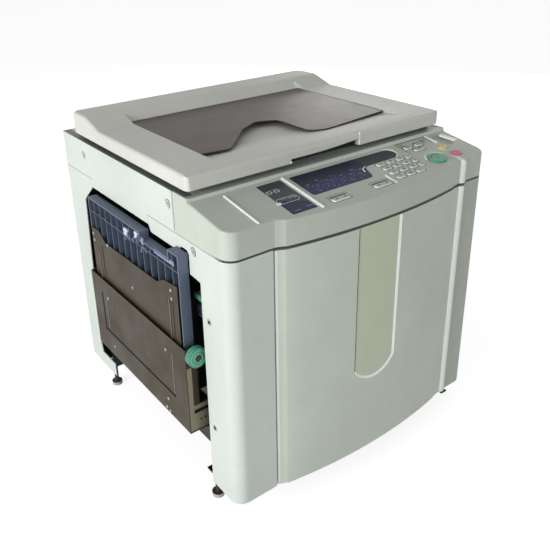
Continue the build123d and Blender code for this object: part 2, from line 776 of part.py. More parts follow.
def platen_cover():
    half = lid_width / 2
    corners = [(-half, lid_front_y), (half, lid_front_y), (half, lid_back_y), (-half, lid_back_y)]
    plan = plan_prism(corners, [10, 24, 24, 20], (lid_bottom - 1, lid_back_top + 1))
    lid = (Pos(-half - 1, 0, 0) * extrude(lid_profile(), amount=lid_width + 2)) & plan
    floor_z = lid_top - recess_floor
    high = lid_back_top + 10
    recess = [(recess_front, lid_top), (recess_slope_end, floor_z), (recess_back, floor_z),
              (recess_back_top, lid_back_top), (recess_back_top, high), (recess_front, high)]
    lid -= side_plate(recess, (recess_left, recess_right))
    rim = lid_rim
    inner_x = (-half + rim, half - rim)
    inner_y = (lid_front_y + rim, lid_back_y - rim)
    lid -= block(inner_x, inner_y, (lid_bottom - 1, floor_z - wall))
    band_top = lid_top - wall
    lid -= block(inner_x, (inner_y[0], recess_front - wall), (lid_bottom, band_top))
    lid -= block((inner_x[0], recess_left - wall), inner_y, (lid_bottom, band_top))
    lid -= block((recess_right + wall, inner_x[1]), inner_y, (lid_bottom, band_top))
    lid -= block(inner_x, (recess_back_top + wall, inner_y[1]), (lid_bottom, band_top))
    ledge_top = lid_top - plate_below - seat
    for x in ((recess_left - 1, recess_left + ledge), (recess_right - ledge, recess_right + 1)):
        lid += block(x, (recess_front + 55.0, recess_back), (ledge_top - 2, ledge_top))
    notch_back = lid_front_y + notch_deep
    notch = [(lid_front_y - 1, lid_bottom - 1), (lid_front_y - 1, lid_bottom + notch_high),
             (notch_back, lid_bottom + notch_high / 2), (notch_back, lid_bottom - 1)]
    lid -= side_plate(notch, (notch_left, notch_right))
    for sign in (-1, 1):
        x = (sign * lid_hinge_x - lid_knuckle / 2, sign * lid_hinge_x + lid_knuckle / 2)
        arm = block(x, (lid_back_y - 2, lid_hinge_y), (lid_hinge_z - 4, lid_hinge_z + 6))
        arm += bar_x(lid_hinge_y, lid_hinge_z, lid_pin + 3.5, x)
        lid += arm
        lid -= bar_x(lid_hinge_y, lid_hinge_z, lid_pin + running, (x[0] - 1, x[1] + 1))
    return lid


def pocket_plate():
    """Smoked plate over the paper pocket, its front edge cut back for the fingers."""
    left = recess_left + seat
    right = recess_right - seat
    front = recess_front
    points = [(left, front + 51.0), (-172.0, front + 41.0), (-84.0, front + 128.0), (-30.0, front + 158.0),
              (12.0, front + 138.0), (12.0, front + 38.0), (44.0, front + 22.0), (right, front + 46.0),
              (right, recess_back + 6), (left, recess_back + 6)]
    radii = [0.5, 16, 30, 22, 16, 14, 24, 0.5, 0.5, 0.5]
    base = lid_top - plate_below
    return plan_prism(points, radii, (base, base + plate_thick))


pad_board = 3.0
pad_gap = 0.4
pad_inset = 26.0


def pressure_pad():
    """Backing board, foam sheet and four bumpers under the lid."""
    half = lid_width / 2
    board_z = (lid_bottom - pad_board, lid_bottom)
    board = block((-half + 8, half - 8), (lid_front_y + pad_inset, lid_back_y - 11), board_z)
    foam_z = (base_top + pad_gap, lid_bottom - pad_board)
    foam = block((-half + 26, half - 26), (lid_front_y + 30, lid_back_y - 25), foam_z)
    parts = [board, foam]
    for x in (-half + 16, half - 16):
        for y in (lid_front_y + pad_inset + 6, lid_back_y - 135):
            parts.append(block((x - 5, x + 5), (y - 5, y + 5), foam_z))
    return Compound(children=parts)


# Front door and its inlay
door_back_y = front_y + 6.0
door_region_back = front_y + 38.0
inlay_half = 53.0
inlay_centre = -5.0
inlay_low = 236.0
inlay_deep = 2.5
inlay_thick = 1.6
inlay_tip = 30.0


def inlay_prism(grow):
    """Tall strip with a rounded foot, open at the door's upper edge."""
    left = inlay_centre - inlay_half - grow
    right = inlay_centre + inlay_half + grow
    top = seam_height - door_seam_gap + 5
    low = inlay_low - grow
    edges = [
        Line((left, top), (left, low + inlay_tip)),
        ThreePointArc((left, low + inlay_tip), (inlay_centre, low), (right, low + inlay_tip)),
        Line((right, low + inlay_tip), (right, top)),
        Line((right, top), (left, top)),
    ]
    face = Plane.XZ * make_face(edges)
    return Pos(0, door_back_y, 0) * extrude(face, amount=door_back_y - crown_y + 10)


def front_door():
    low = cover_bottom + 2 * seam_gap
    high = seam_height - door_seam_gap
    span = block((door_left, door_right), (crown_y - 1, door_back_y), (low, high))
    shell = front_solid(0, door_region_back, (low, high)) & span
    inner_x = (door_left + wall, door_right - 2 * wall)
    inside = block(inner_x, (crown_y - 1, door_back_y + 1), (low + wall, high - wall))
    shell -= front_solid(wall, door_region_back, (low, high)) & inside
    z = (low, high)
    thick = front_solid(wall - 0.5, door_region_back, z) - front_solid(wall + inlay_deep, door_region_back, z)
    shell += thick & inlay_prism(wall) & span
    shell -= inlay_prism(0) - front_solid(inlay_deep, door_region_back, (low - 1, high + 10))
    post = 5 * door_pin
    boss_y = (door_hinge_y - 0.5 * door_pin, door_back_y)
    boss_x = (door_hinge_x - post, door_right)
    for z in ((low, low + door_bore_depth), (high - door_bore_depth, high)):
        shell += block(boss_x, boss_y, z)
    bore = door_pin + running
    shell -= bar_z(door_hinge_x, door_hinge_y, bore, (low - 1, low + door_bore_depth + 1))
    shell -= bar_z(door_hinge_x, door_hinge_y, bore, (high - door_bore_depth - 1, high + 1))
    return shell


def door_insert():
    high = seam_height - door_seam_gap
    skin_z = (cover_bottom, high)
    face = inlay_deep - inlay_thick
    sheet = front_solid(face, door_region_back, skin_z)
    sheet -= front_solid(inlay_deep, door_region_back, skin_z)
    return sheet & inlay_prism(-key_gap)


# Feed side
bracket_low = feed_hinge_z - 12.0
bracket_high = bracket_low + 186.0
bracket_depth = 24.0
bracket_steel = 2.0
foot_flange = 57.0
foot_flange_high = bracket_low + 62.0
flange_slot = 5.0
flange_slot_z = bracket_low + 46.0
pad_half = 6.0
pad_heights = (bracket_low + 32.0, bracket_high - 22.0)
pad_span = (-bracket_half + 40.0, bracket_half - 60.0)
tray_out = tray_outer - 8.0
tray_in = half_width + tray_face_gap
tray_low = feed_hinge_z + 14.0
tray_high = seam_height - 28.0
tray_step_high = tray_high - 15.0
post_high = tray_high + 5.0
tray_step_y = opening_step_y
post_y = -tray_half + 36.0
tray_skin = 3.5
tray_wall = 3.0
rib_thick = 1.6
rib_pitch = 27.0
rib_cross_z = tray_step_high - 15.0
under_plate_thick = 1.5
under_plate_low = tray_low + 6.0
under_plate_edge = [(-tray_half + 8.0, tray_high - 58.0), (-tray_half + 56.0, tray_high - 63.0),
                    (-tray_half + 82.0, tray_high - 78.0), (tray_half - 68.0, tray_high - 83.0),
                    (tray_half - 40.0, tray_high - 65.0), (tray_half - 4.0, tray_high - 67.0)]
dial_z = bracket_high - 16.0
dial_radius = 20.0
dial_thick = 13.0
dial_hub = 4.0
groove = 3.5
groove_y = bracket_half - 48.0
groove_z = bracket_low + 58.0
groove_high = bracket_high - 36.0
dial_x = -tray_outer + dial_radius


def feed_bracket():
    """Steel carrier that folds with the tray, with its two side flanges."""
    x = (-tray_outer, -tray_outer + bracket_steel)
    plate = block(x, (-bracket_half, bracket_half), (bracket_low, bracket_high))
    half = groove / 2
    through = (x[0] - 1, x[1] + 1)
    plate -= block(through, (groove_y - half, groove_y + half), (groove_z - half, groove_high))
    plate -= block(through, (-groove_y, groove_y + half), (groove_z - half, groove_z + half))
    for z in pad_heights:
        pad_x = (x[1] - 1, -tray_out - under_plate_thick - seat)
        plate += block(pad_x, pad_span, (z - pad_half, z + pad_half))
    for sign in (-1, 1):
        edge = sign * bracket_half
        y = pair(edge, edge - sign * wall)
        plate += block((-tray_outer, -tray_outer + bracket_depth), y, (bracket_low, bracket_high))
        plate += block((-tray_outer, -tray_outer + foot_flange), y, (bracket_low, foot_flange_high))
        slot_x = (-tray_outer + 8, -tray_outer + foot_flange - 8)
        slot_z = (flange_slot_z - flange_slot / 2, flange_slot_z + flange_slot / 2)
        plate -= block(slot_x, (y[0] - 1, y[1] + 1), slot_z)
        plate -= bar_y(feed_hinge_x, feed_hinge_z, hinge_pin + running, (y[0] - 1, y[1] + 1))
    flange_y = (-bracket_half - 1, -bracket_half + wall + 1)
    boss_y = (-bracket_half, -bracket_half + wall)
    plate += bar_y(dial_x, dial_z, dial_hub + 5, boss_y)
    plate -= bar_y(dial_x, dial_z, dial_hub + running, flange_y)
    return plate


def tray_top_edge():
    """Stepped upper edge of the feed tray, from front to back."""
    return [(-tray_half, post_high), (post_y, post_high), (post_y, tray_step_high),
            (tray_step_y, tray_step_high), (tray_step_y, tray_high), (tray_half, tray_high)]


def tray_edge_at(y):
    """Height of the tray's upper edge at one depth."""
    if y < post_y:
        return post_high
    return tray_step_high if y < tray_step_y else tray_high


def feed_tray():
    """Ribbed plastic paper tray, folded up with its underside outwards."""
    outline = [(-tray_half, tray_low)] + tray_top_edge() + [(tray_half, tray_low)]
    solid = side_plate(outline, (-tray_out, -tray_in))
    w = tray_wall
    inner = [(-tray_half + w, tray_low + w), (-tray_half + w, post_high - w), (post_y - w, post_high - w),
             (post_y - w, tray_step_high - w), (tray_step_y + w, tray_step_high - w),
             (tray_step_y + w, tray_high - w), (tray_half - w, tray_high - w), (tray_half - w, tray_low + w)]
    tray = solid - side_plate(inner, (-tray_out - 1, -tray_in - tray_skin))
    rib_x = (-tray_out + 1.0, -tray_in - tray_skin + 1)
    steps = int((2 * tray_half - rib_pitch) // rib_pitch)
    start = -steps * rib_pitch / 2
    for step in range(steps + 1):
        y = start + step * rib_pitch
        top = tray_edge_at(y) - 1
        tray += block(rib_x, (y - rib_thick / 2, y + rib_thick / 2), (tray_low + 1, top))
    cross_z = (rib_cross_z - rib_thick / 2, rib_cross_z + rib_thick / 2)
    return tray + block(rib_x, (-tray_half + 1, tray_half - 1), cross_z)


def feed_tray_plate():
    """Steel stiffener on the tray's underside with two pressed ribs."""
    low = under_plate_low
    outline = [(under_plate_edge[0][0], low)] + under_plate_edge + [(under_plate_edge[-1][0], low)]
    sheet = side_plate(outline, (-tray_out - under_plate_thick, -tray_out))
    for y in (-tray_half + 30, tray_half - 48):
        rib_x = (-tray_out - under_plate_thick - 1.0, -tray_out)
        sheet += block(rib_x, (y - 3, y + 3), (bracket_high + 6, tray_high - 98))
    return sheet


guide_y = tray_half - 36.0
guide_low = tray_low + 24.0
guide_high = guide_low + 170.0
guide_reach = 52.0
guide_thick = 3.0
guide_foot = 26.0


def guide(sign, face_x, inward):
    """Upright paper fence on its foot; inward is the way the fence stands up."""
    foot_x = pair(face_x + inward * seat, face_x + inward * (seat + guide_thick))
    fence_x = pair(face_x + inward * seat, face_x + inward * guide_reach)
    edge = sign * guide_y
    foot_y = pair(edge, edge + sign * guide_foot)
    fence_y = pair(edge, edge + sign * guide_thick)
    z = (guide_low, guide_high)
    return block(foot_x, foot_y, z) + block(fence_x, fence_y, z)


def elevator_arm(sign):
    """Arm that carries the fold hinge of the feed bracket at one end."""
    inner = bracket_half - wall - seam_gap
    arm_y = pair(sign * inner, sign * (inner - ear_thick))
    arm = block((feed_hinge_x, rod_x), arm_y, (feed_hinge_z - hinge_hub, feed_hinge_z + hinge_hub))
    arm += bar_y(feed_hinge_x, feed_hinge_z, hinge_hub, arm_y)
    pin_y = pair(sign * (inner - 1), sign * bracket_half)
    return arm + bar_y(feed_hinge_x, feed_hinge_z, hinge_pin, pin_y)


elevator_low = feed_hinge_z - 12.0
elevator_high = elevator_low + 70.0
elevator_plate_x = rod_x - 12.0


def feed_elevator():
    """Lift carriage on two upright rods, with the arms of the fold hinge."""
    x = (elevator_plate_x, elevator_plate_x + steel)
    carriage = block(x, (-rod_y, rod_y), (elevator_low, elevator_high))
    for sign in (-1, 1):
        bush = bar_z(rod_x, sign * rod_y, rod_radius + 5, (elevator_low, elevator_high))
        carriage += bush + elevator_arm(sign)
        inner = bracket_half - wall - seam_gap - ear_thick
        joint_y = pair(sign * inner, sign * rod_y)
        joint_z = (feed_hinge_z - hinge_hub, feed_hinge_z + hinge_hub)
        carriage += block((elevator_plate_x, rod_x), joint_y, joint_z)
    for sign in (-1, 1):
        carriage -= bar_z(rod_x, sign * rod_y, rod_radius + running, (elevator_low - 1, elevator_high + 1))
    return carriage


dial_notches = 24
dial_notch = 1.3


def dial(x, z, radius, y, hub, hub_y, hex_radius):
    """Knurled dial with a hexagon recess and its screw, on a hub through its seat."""
    knob = bar_y(x, z, radius, y)
    for step in range(dial_notches):
        angle = 2 * math.pi * step / dial_notches
        notch_x = x + radius * math.cos(angle)
        notch_z = z + radius * math.sin(angle)
        knob -= bar_y(notch_x, notch_z, dial_notch, (y[0] - 1, y[1] - 3))
    recess = Plane(origin=(x, y[0] - 1, z), x_dir=(1, 0, 0), z_dir=(0, 1, 0)) * RegularPolygon(hex_radius, 6)
    knob -= extrude(recess, amount=4.0)
    knob += bar_y(x, z, hex_radius * 0.5, (y[0] + 1.2, y[0] + 4))
    if hub:
        knob += bar_y(x, z, hub, hub_y)
    return knob


def position_dial():
    face = -bracket_half - seat
    hub_y = (face - 1, -bracket_half + wall)
    knob = dial(dial_x, dial_z, dial_radius, (face - dial_thick, face), dial_hub, hub_y, 9.0)
    collar_y = (-bracket_half + wall + seat, -bracket_half + wall + 2)
    knob += bar_y(dial_x, dial_z, dial_hub, (face, collar_y[1]))
    return knob + bar_y(dial_x, dial_z, dial_hub + 2, collar_y)


small_dial_radius = 12.0
small_dial_thick = 10.0
small_dial_cap = 2.5


def stripper_dial():
    """Small dial that turns on the end of a frame stub."""
    y = (stub_end_y - small_dial_thick, stub_end_y + small_dial_cap)
    knob = dial(stub_x, dial_low_z, small_dial_radius, y, 0, None, 5.0)
    return knob - bar_y(stub_x, dial_low_z, stub_radius + running, (y[0] - 1, stub_end_y))


lever_length = 12.5


def feed_pressure_lever():
    """Short lever that turns on the end of a frame stub."""
    y = (stub_end_y - 10.0, stub_end_y + 2.0)
    lever = bar_y(stub_x, lever_z, stub_radius + 4, y)
    lever += block((stub_x - lever_length, stub_x), (y[0], y[1]), (lever_z - 3, lever_z + 4))
    return lever - bar_y(stub_x, lever_z, stub_radius + running, (y[0] - 1, stub_end_y))


def pickup_roller():
    """Rubber tyre on its steel shaft, in the frame plates."""
    tyre = bar_y(pickup_x, pickup_z, pickup_radius, (-pickup_half, pickup_half))
    shaft_y = (frame_front_y, frame_back_y + steel)
    return tyre + bar_y(pickup_x, pickup_z, pickup_shaft, shaft_y)


# Receiving side
receive_in = right_hinge_x - 9.0
receive_bays = 3


def receiving_tray():
    """Folded receiving tray: a skin with a rim and ribs, hinged at its foot."""
    x = (receive_in, tray_outer)
    z = (right_hinge_z - 13.0, right_tray_top)
    tray = block(x, (-tray_half, tray_half), z)
    w = tray_wall
    pocket_x = (receive_in + tray_skin, tray_outer + 1)
    pocket_z = (right_hinge_z + 2 * hinge_hub, right_tray_top - w)
    tray -= block(pocket_x, (-tray_half + w, tray_half - w), pocket_z)
    rib_x = (receive_in + tray_skin - 1, tray_outer - 1.0)
    for step in range(1, receive_bays):
        y = -tray_half + step * 2 * tray_half / receive_bays
        tray += block(rib_x, (y - rib_thick / 2, y + rib_thick / 2), (right_hinge_z, right_tray_top - 1))
    reach = tray_half + 2 * seam_gap + ear_thick
    return tray + bar_y(right_hinge_x, right_hinge_z, hinge_pin, (-reach, reach))


stopper_half = 40.0
stopper_z = right_tray_top - 26.0


def paper_stopper():
    """Low fence across the tray that stops the printed sheets."""
    foot_x = (receive_in - seat - guide_thick, receive_in - seat)
    fence_x = (receive_in - 36.0, receive_in - seat)
    y = (-stopper_half, stopper_half)
    foot = block(foot_x, y, (stopper_z - 24, stopper_z))
    return foot + block(fence_x, y, (stopper_z - guide_thick, stopper_z))


def master_box():
    """Open-topped drawer for used masters, with its front flush in the right cover."""
    inner = cover_inner
    back = half_width - box_depth
    w = box_wall
    box = block((back, inner), (-box_half + w, box_half - w), (box_low, box_high - 2 * w))
    box -= block((back + w, inner - w), (-box_half + 2 * w, box_half - 2 * w), (box_low + w, box_high))
    box += block((inner - w, half_width), (-box_half, box_half), (box_low, box_high))
    grip_z = (box_high - 22, box_high - 8)
    return box - block((inner - w - 1, half_width + 1), (-40.0, 40.0), grip_z)


# Drum unit
disc_radius = 125.0
disc_thick = 6.0
boss_radius = 84.0
bottle_offset = 48.0
bottle_radius = 30.0
bottle_front = frame_front_y - 38.0
bottle_back = drum_front + 176.0
grip_offset = 55.0
grip_half = 45.0
grip_bar = 6.0


def drum_frame():
    """Drum carrier: front disc with its grip, and the centre shaft."""
    face = frame_front_y
    frame = bar_y(drum_x, drum_z, disc_radius, (face - disc_thick, face))
    frame += bar_y(drum_x, drum_z, boss_radius, (face - 1, drum_front + 8))
    frame += bar_y(drum_x, drum_z, drum_shaft, (face - 1, frame_back_y + steel))
    bore_y = (face - disc_thick - 1, drum_front + 9)
    frame -= bar_y(drum_x - bottle_offset, drum_z, bottle_radius + key_gap, bore_y)
    x = drum_x + grip_offset
    out = face - disc_thick - 28.0
    for z in (drum_z - grip_half, drum_z + grip_half):
        frame += block((x - grip_bar, x + grip_bar), (out, face), (z - grip_bar, z + grip_bar))
    reach = grip_half + grip_bar
    return frame + block((x - grip_bar, x + grip_bar), (out, out + 10), (drum_z - reach, drum_z + reach))


def ink_bottle():
    """Ink cylinder with a smaller grip cap in front."""
    x = drum_x - bottle_offset
    bottle = bar_y(x, drum_z, bottle_radius, (frame_front_y - disc_thick - 12, bottle_back))
    return bottle + bar_y(x, drum_z, bottle_radius - 8, (bottle_front, frame_front_y - disc_thick - 11))


gear_tip = 0.9
gear_root = 1.2
gear_play = 0.25


def gear_points(teeth, half_tooth_shift):
    """Straight-flanked gear outline with a little play, in the X-Z plane."""
    pitch_radius = gear_module * teeth / 2
    tip = pitch_radius + gear_tip * gear_module
    root = pitch_radius - gear_root * gear_module
    step = 2 * math.pi / teeth
    points = []
    for tooth in range(teeth):
        middle = (tooth + half_tooth_shift) * step
        for radius, share in ((root, 0.36), (tip, 0.13), (tip, -0.13), (root, -0.36)):
            play = gear_play / 2 / radius
            angle = middle - share * step + (play if share > 0 else -play)
            points.append((radius * math.cos(angle), radius * math.sin(angle)))
    return points


def gear(x, z, teeth, turn, y):
    """Gear on an axis along Y, turned so that a tooth or gap meets its mate."""
    face = make_face(Polyline(*gear_points(teeth, turn), close=True))
    plane = Plane(origin=(x, y[1], z), x_dir=(1, 0, 0), z_dir=(0, -1, 0))
    return extrude(plane * face, amount=y[1] - y[0])


def mesh_turn(teeth, angle, gap):
    """Turn, in teeth, that puts a tooth or a gap at one angle."""
    along = math.radians(angle) / (2 * math.pi / teeth)
    return along % 1.0 + (0.5 if gap else 0.0)


def print_drum():
    """Drum shell with a rim in front, a hub disc at the back and its gear."""
    hub_end = drum_back + 8.0
    drum = bar_y(drum_x, drum_z, drum_radius, (drum_front, hub_end))
    drum -= bar_y(drum_x, drum_z, drum_radius - drum_skin, (drum_front + 8, drum_back))
    drum -= bar_y(drum_x, drum_z, boss_radius + running, (drum_front - 1, drum_front + 9))
    gear_y = (hub_end - 0.5, hub_end + gear_width)
    drum += gear(drum_x, drum_z, drum_teeth, mesh_turn(drum_teeth, pinion_angle, False), gear_y)
    return drum - bar_y(drum_x, drum_z, drum_shaft + running, (drum_back - 1, gear_y[1] + 1))


motor_radius = 27.0
motor_length = 38.0
motor_shaft = 5.0
shaft_in_motor = 18.0


def drive_motor():
    """Motor can on the back of the rear frame plate."""
    start = frame_back_y + steel
    can = bar_y(pinion_x, pinion_z, motor_radius, (start, start + motor_length))
    flange = motor_radius * 0.8
    reach = motor_radius + 6
    flange_x = (pinion_x - flange, pinion_x + flange)
    can += block(flange_x, (start, start + 3), (pinion_z - reach, pinion_z + reach))
    return can - bar_y(pinion_x, pinion_z, motor_shaft + running, (start - 1, start + shaft_in_motor + 2))


def motor_pinion():
    """Pinion and its shaft, which runs in the motor."""
    y = (drum_back + 8.0, drum_back + 8.0 + gear_width + 2)
    turn = mesh_turn(pinion_teeth, pinion_angle + 180, True)
    shaft_y = (y[0], frame_back_y + steel + shaft_in_motor)
    return gear(pinion_x, pinion_z, pinion_teeth, turn, y) + bar_y(pinion_x, pinion_z, motor_shaft, shaft_y)


arm_front = (drum_front + 9.0, drum_front + 15.0)
arm_back = (drum_back - 6.0, drum_back)


def pressure_arms():
    """Two arms that swing up to the drum on one shaft."""
    arms = bar_y(swing_x, roller_z, swing_shaft, (frame_front_y, frame_back_y + steel))
    for y in (arm_front, arm_back):
        arms += block((drum_x, swing_x), y, (roller_z - 9, roller_z + 9))
        arms += bar_y(swing_x, roller_z, 10.0, y) + bar_y(drum_x, roller_z, 9.0, y)
    for y in (arm_front, arm_back):
        arms -= bar_y(drum_x, roller_z, swing_shaft + running, (y[0] - 1, y[1] + 1))
    return arms


def pressure_roller():
    """Rubber roller on its steel shaft, in the two arms."""
    roller = bar_y(drum_x, roller_z, roller_radius, (arm_front[1] + 2, arm_back[0] - 2))
    return roller + bar_y(drum_x, roller_z, swing_shaft, (arm_front[0], arm_back[1]))


def master_roll():
    """Roll of master film on its shaft."""
    roll = bar_y(master_x, master_z, master_radius, (drum_front + 86, drum_back - 60))
    return roll + bar_y(master_x, master_z, master_shaft, (frame_front_y, frame_back_y + steel))


def nodes():
    """Every sub-part by name."""
    parts = {
        "main_frame": main_frame(),
        "left_front_cover": left_front_cover(),
        "left_upper_cover": left_upper_cover(),
        "left_rear_cover": left_rear_cover(),
        "right_front_cover": right_front_cover(),
        "right_side_cover": right_side_cover(),
        "rear_cover": rear_cover(),
        "scanner_base": scanner_base(),
        "platen_glass": platen_glass(),
        "control_panel": control_panel(),
        "panel_windows": panel_windows(),
        "levelling_feet": levelling_feet(),
        "cover_screws": cover_screws(),
        "hinge_pins": hinge_pins(),
        "platen_cover": platen_cover(),
        "pressure_pad": pressure_pad(),
        "pocket_plate": pocket_plate(),
        "front_door": front_door(),
        "door_insert": door_insert(),
        "feed_elevator": feed_elevator(),
        "feed_bracket": feed_bracket(),
        "feed_tray": feed_tray(),
        "feed_tray_plate": feed_tray_plate(),
        "feed_guide_front": guide(-1, -tray_in, 1),
        "feed_guide_rear": guide(1, -tray_in, 1),
        "position_dial": position_dial(),
        "stripper_dial": stripper_dial(),
        "feed_pressure_lever": feed_pressure_lever(),
        "pickup_roller": pickup_roller(),
        "receiving_tray": receiving_tray(),
        "receiving_guide_front": guide(-1, receive_in, -1),
        "receiving_guide_rear": guide(1, receive_in, -1),
        "paper_stopper": paper_stopper(),
        "drum_frame": drum_frame(),
        "print_drum": print_drum(),
        "ink_bottle": ink_bottle(),
        "drive_motor": drive_motor(),
        "motor_pinion": motor_pinion(),
        "pressure_arms": pressure_arms(),
        "pressure_roller": pressure_roller(),
        "master_roll": master_roll(),
        "master_box": master_box(),
        "scanner_carriage": scanner_carriage(),
        "power_switch": power_switch(),
        "start_key": key_cap("oval", start_place, start_size, key_proud + 1.5),
        "stop_key": key_cap("oval", stop_place, stop_size, key_proud + 0.8),
        "reset_key": key_cap("oval", reset_place, reset_size, key_proud + 0.8),
        "function_keys": function_keys(),
    }
    for index, place in enumerate(number_places()):
        parts[f"number_key_{index + 1}"] = key_cap("bar", place, number_size, key_proud)
    return parts


os.makedirs("parts", exist_ok=True)
for name, shape in nodes().items():
    export_step(shape, f"parts/{name}.step")
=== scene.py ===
"""Looks of a digital duplicator: finishes of the CAD nodes, rounded covers, trim, floor, lamps and camera."""
import json
import math

import bmesh
import bpy
from mathutils import Matrix, Vector
from mathutils.bvhtree import BVHTree


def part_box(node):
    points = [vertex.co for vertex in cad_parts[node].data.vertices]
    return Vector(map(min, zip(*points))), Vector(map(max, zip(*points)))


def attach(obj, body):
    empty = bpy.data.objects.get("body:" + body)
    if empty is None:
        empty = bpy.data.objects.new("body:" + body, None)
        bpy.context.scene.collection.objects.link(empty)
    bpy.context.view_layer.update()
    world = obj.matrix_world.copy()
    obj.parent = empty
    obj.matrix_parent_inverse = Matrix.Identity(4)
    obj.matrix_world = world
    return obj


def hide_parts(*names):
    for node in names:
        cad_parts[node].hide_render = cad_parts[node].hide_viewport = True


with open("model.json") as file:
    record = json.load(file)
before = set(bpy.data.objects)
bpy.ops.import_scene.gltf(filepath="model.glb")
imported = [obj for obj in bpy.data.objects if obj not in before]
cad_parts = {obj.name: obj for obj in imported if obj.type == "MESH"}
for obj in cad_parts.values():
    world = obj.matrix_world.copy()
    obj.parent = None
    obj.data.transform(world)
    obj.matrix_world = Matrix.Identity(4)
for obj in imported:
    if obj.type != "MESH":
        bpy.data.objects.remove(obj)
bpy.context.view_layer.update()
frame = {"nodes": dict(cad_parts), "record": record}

# Sizes are in millimetres, angles in degrees where no other unit is named
MM = 0.001
PANEL_SLOPE = 9.62
PANEL_ORIGIN = (0.0, -310.0, 622.0)
LEFT_FACE = -320.0
# Faces that meet at more than the first angle have a visible edge; edges past the second are rounded
SHARP_ANGLE = 35.0
ROUNDED_ANGLE = 40.0

# The panel's frame: x across, s up the slope, then out of its face
PANEL = Matrix.Translation(PANEL_ORIGIN) @ Matrix.Rotation(math.radians(PANEL_SLOPE), 4, "X")

# Keys on the panel: x, s, then half sizes; painted key shadows and printed lines reach from below its face to
# above it
NUMBER_START = (76.0, 9.2)
NUMBER_STEP = (26.2, 17.8)
NUMBER_MARKS = "*0-789456123"
SIDE_KEY_X = 150.7
SIDE_KEY_ROWS = (26.0, 44.0, 62.0)
FUNCTION_KEYS = ((180.0, 90.0, 10.5, 5.2), (212.0, 91.0, 10.5, 5.2), (198.0, 74.5, 15.5, 4.2))
ROCKERS = (-80.0, 22.0)
STOP_KEY = (250.0, 26.0)
SHADOW_AND_PRINT = (-0.2, 0.16)

# Places of the left side's screw caps and screws: y, z
CAPS = ((231.0, 617.0), (-128.0, 620.0), (-205.0, 556.0))
COLUMN_SCREWS = ((-243.0, 436.0), (-241.0, 207.0))
UNDERPLATE_SCREWS = ((174.0, 462.0), (172.0, 447.0), (107.0, 458.0), (5.0, 403.0), (-155.0, 468.0),
                     (-156.0, 451.0))
CARRIER_SCREWS = ((123.0, 327.0), (-127.0, 331.0), (118.0, 207.0), (-121.0, 214.0), (-112.0, 189.0),
                  (-125.0, 187.0))

# The tray's clips: y, z, half width, half height
CLIPS = ((17.0, 521.0, 5.5, 7.5), (-28.0, 531.0, 4.5, 6.0))
# The carrier's groove: its upright's y, then its lower and upper z
GROOVE = (152.0, 238.0, 330.0)
# The lid's finger notch: its two ends in x, its upper edge in z
NOTCH = (-95.0, 75.0)
NOTCH_TOP = 673.0
# How far the lid's rim is rounded
LID_RIM = 7.0


# Colours and shader values

def paint(red, green, blue):
    """A linear colour from the everyday 0 to 255 numbers."""
    levels = [level / 255 for level in (red, green, blue)]
    linear = [v / 12.92 if v <= 0.04045 else ((v + 0.055) / 1.055) ** 2.4 for v in levels]
    return tuple(linear) + (1.0,)


def tinted(colour, factor):
    """The same colour, lighter or darker."""
    return tuple(min(1.0, part * factor) for part in colour[:3]) + (1.0,)


class Value:
    """A shader socket that takes part in plain sums."""

    def __init__(self, finish, socket):
        self.finish = finish
        self.socket = socket

    def combine(self, operation, first, second):
        return self.finish.node("ShaderNodeMath", {"operation": operation}, {0: first, 1: second})

    def __add__(self, other):
        return self.combine("ADD", self, other)

    def __mul__(self, other):
        return self.combine("MULTIPLY", self, other)

    def __sub__(self, other):
        return self.combine("SUBTRACT", self, other)

    def __rsub__(self, other):
        return self.combine("SUBTRACT", other, self)

    __radd__ = __add__


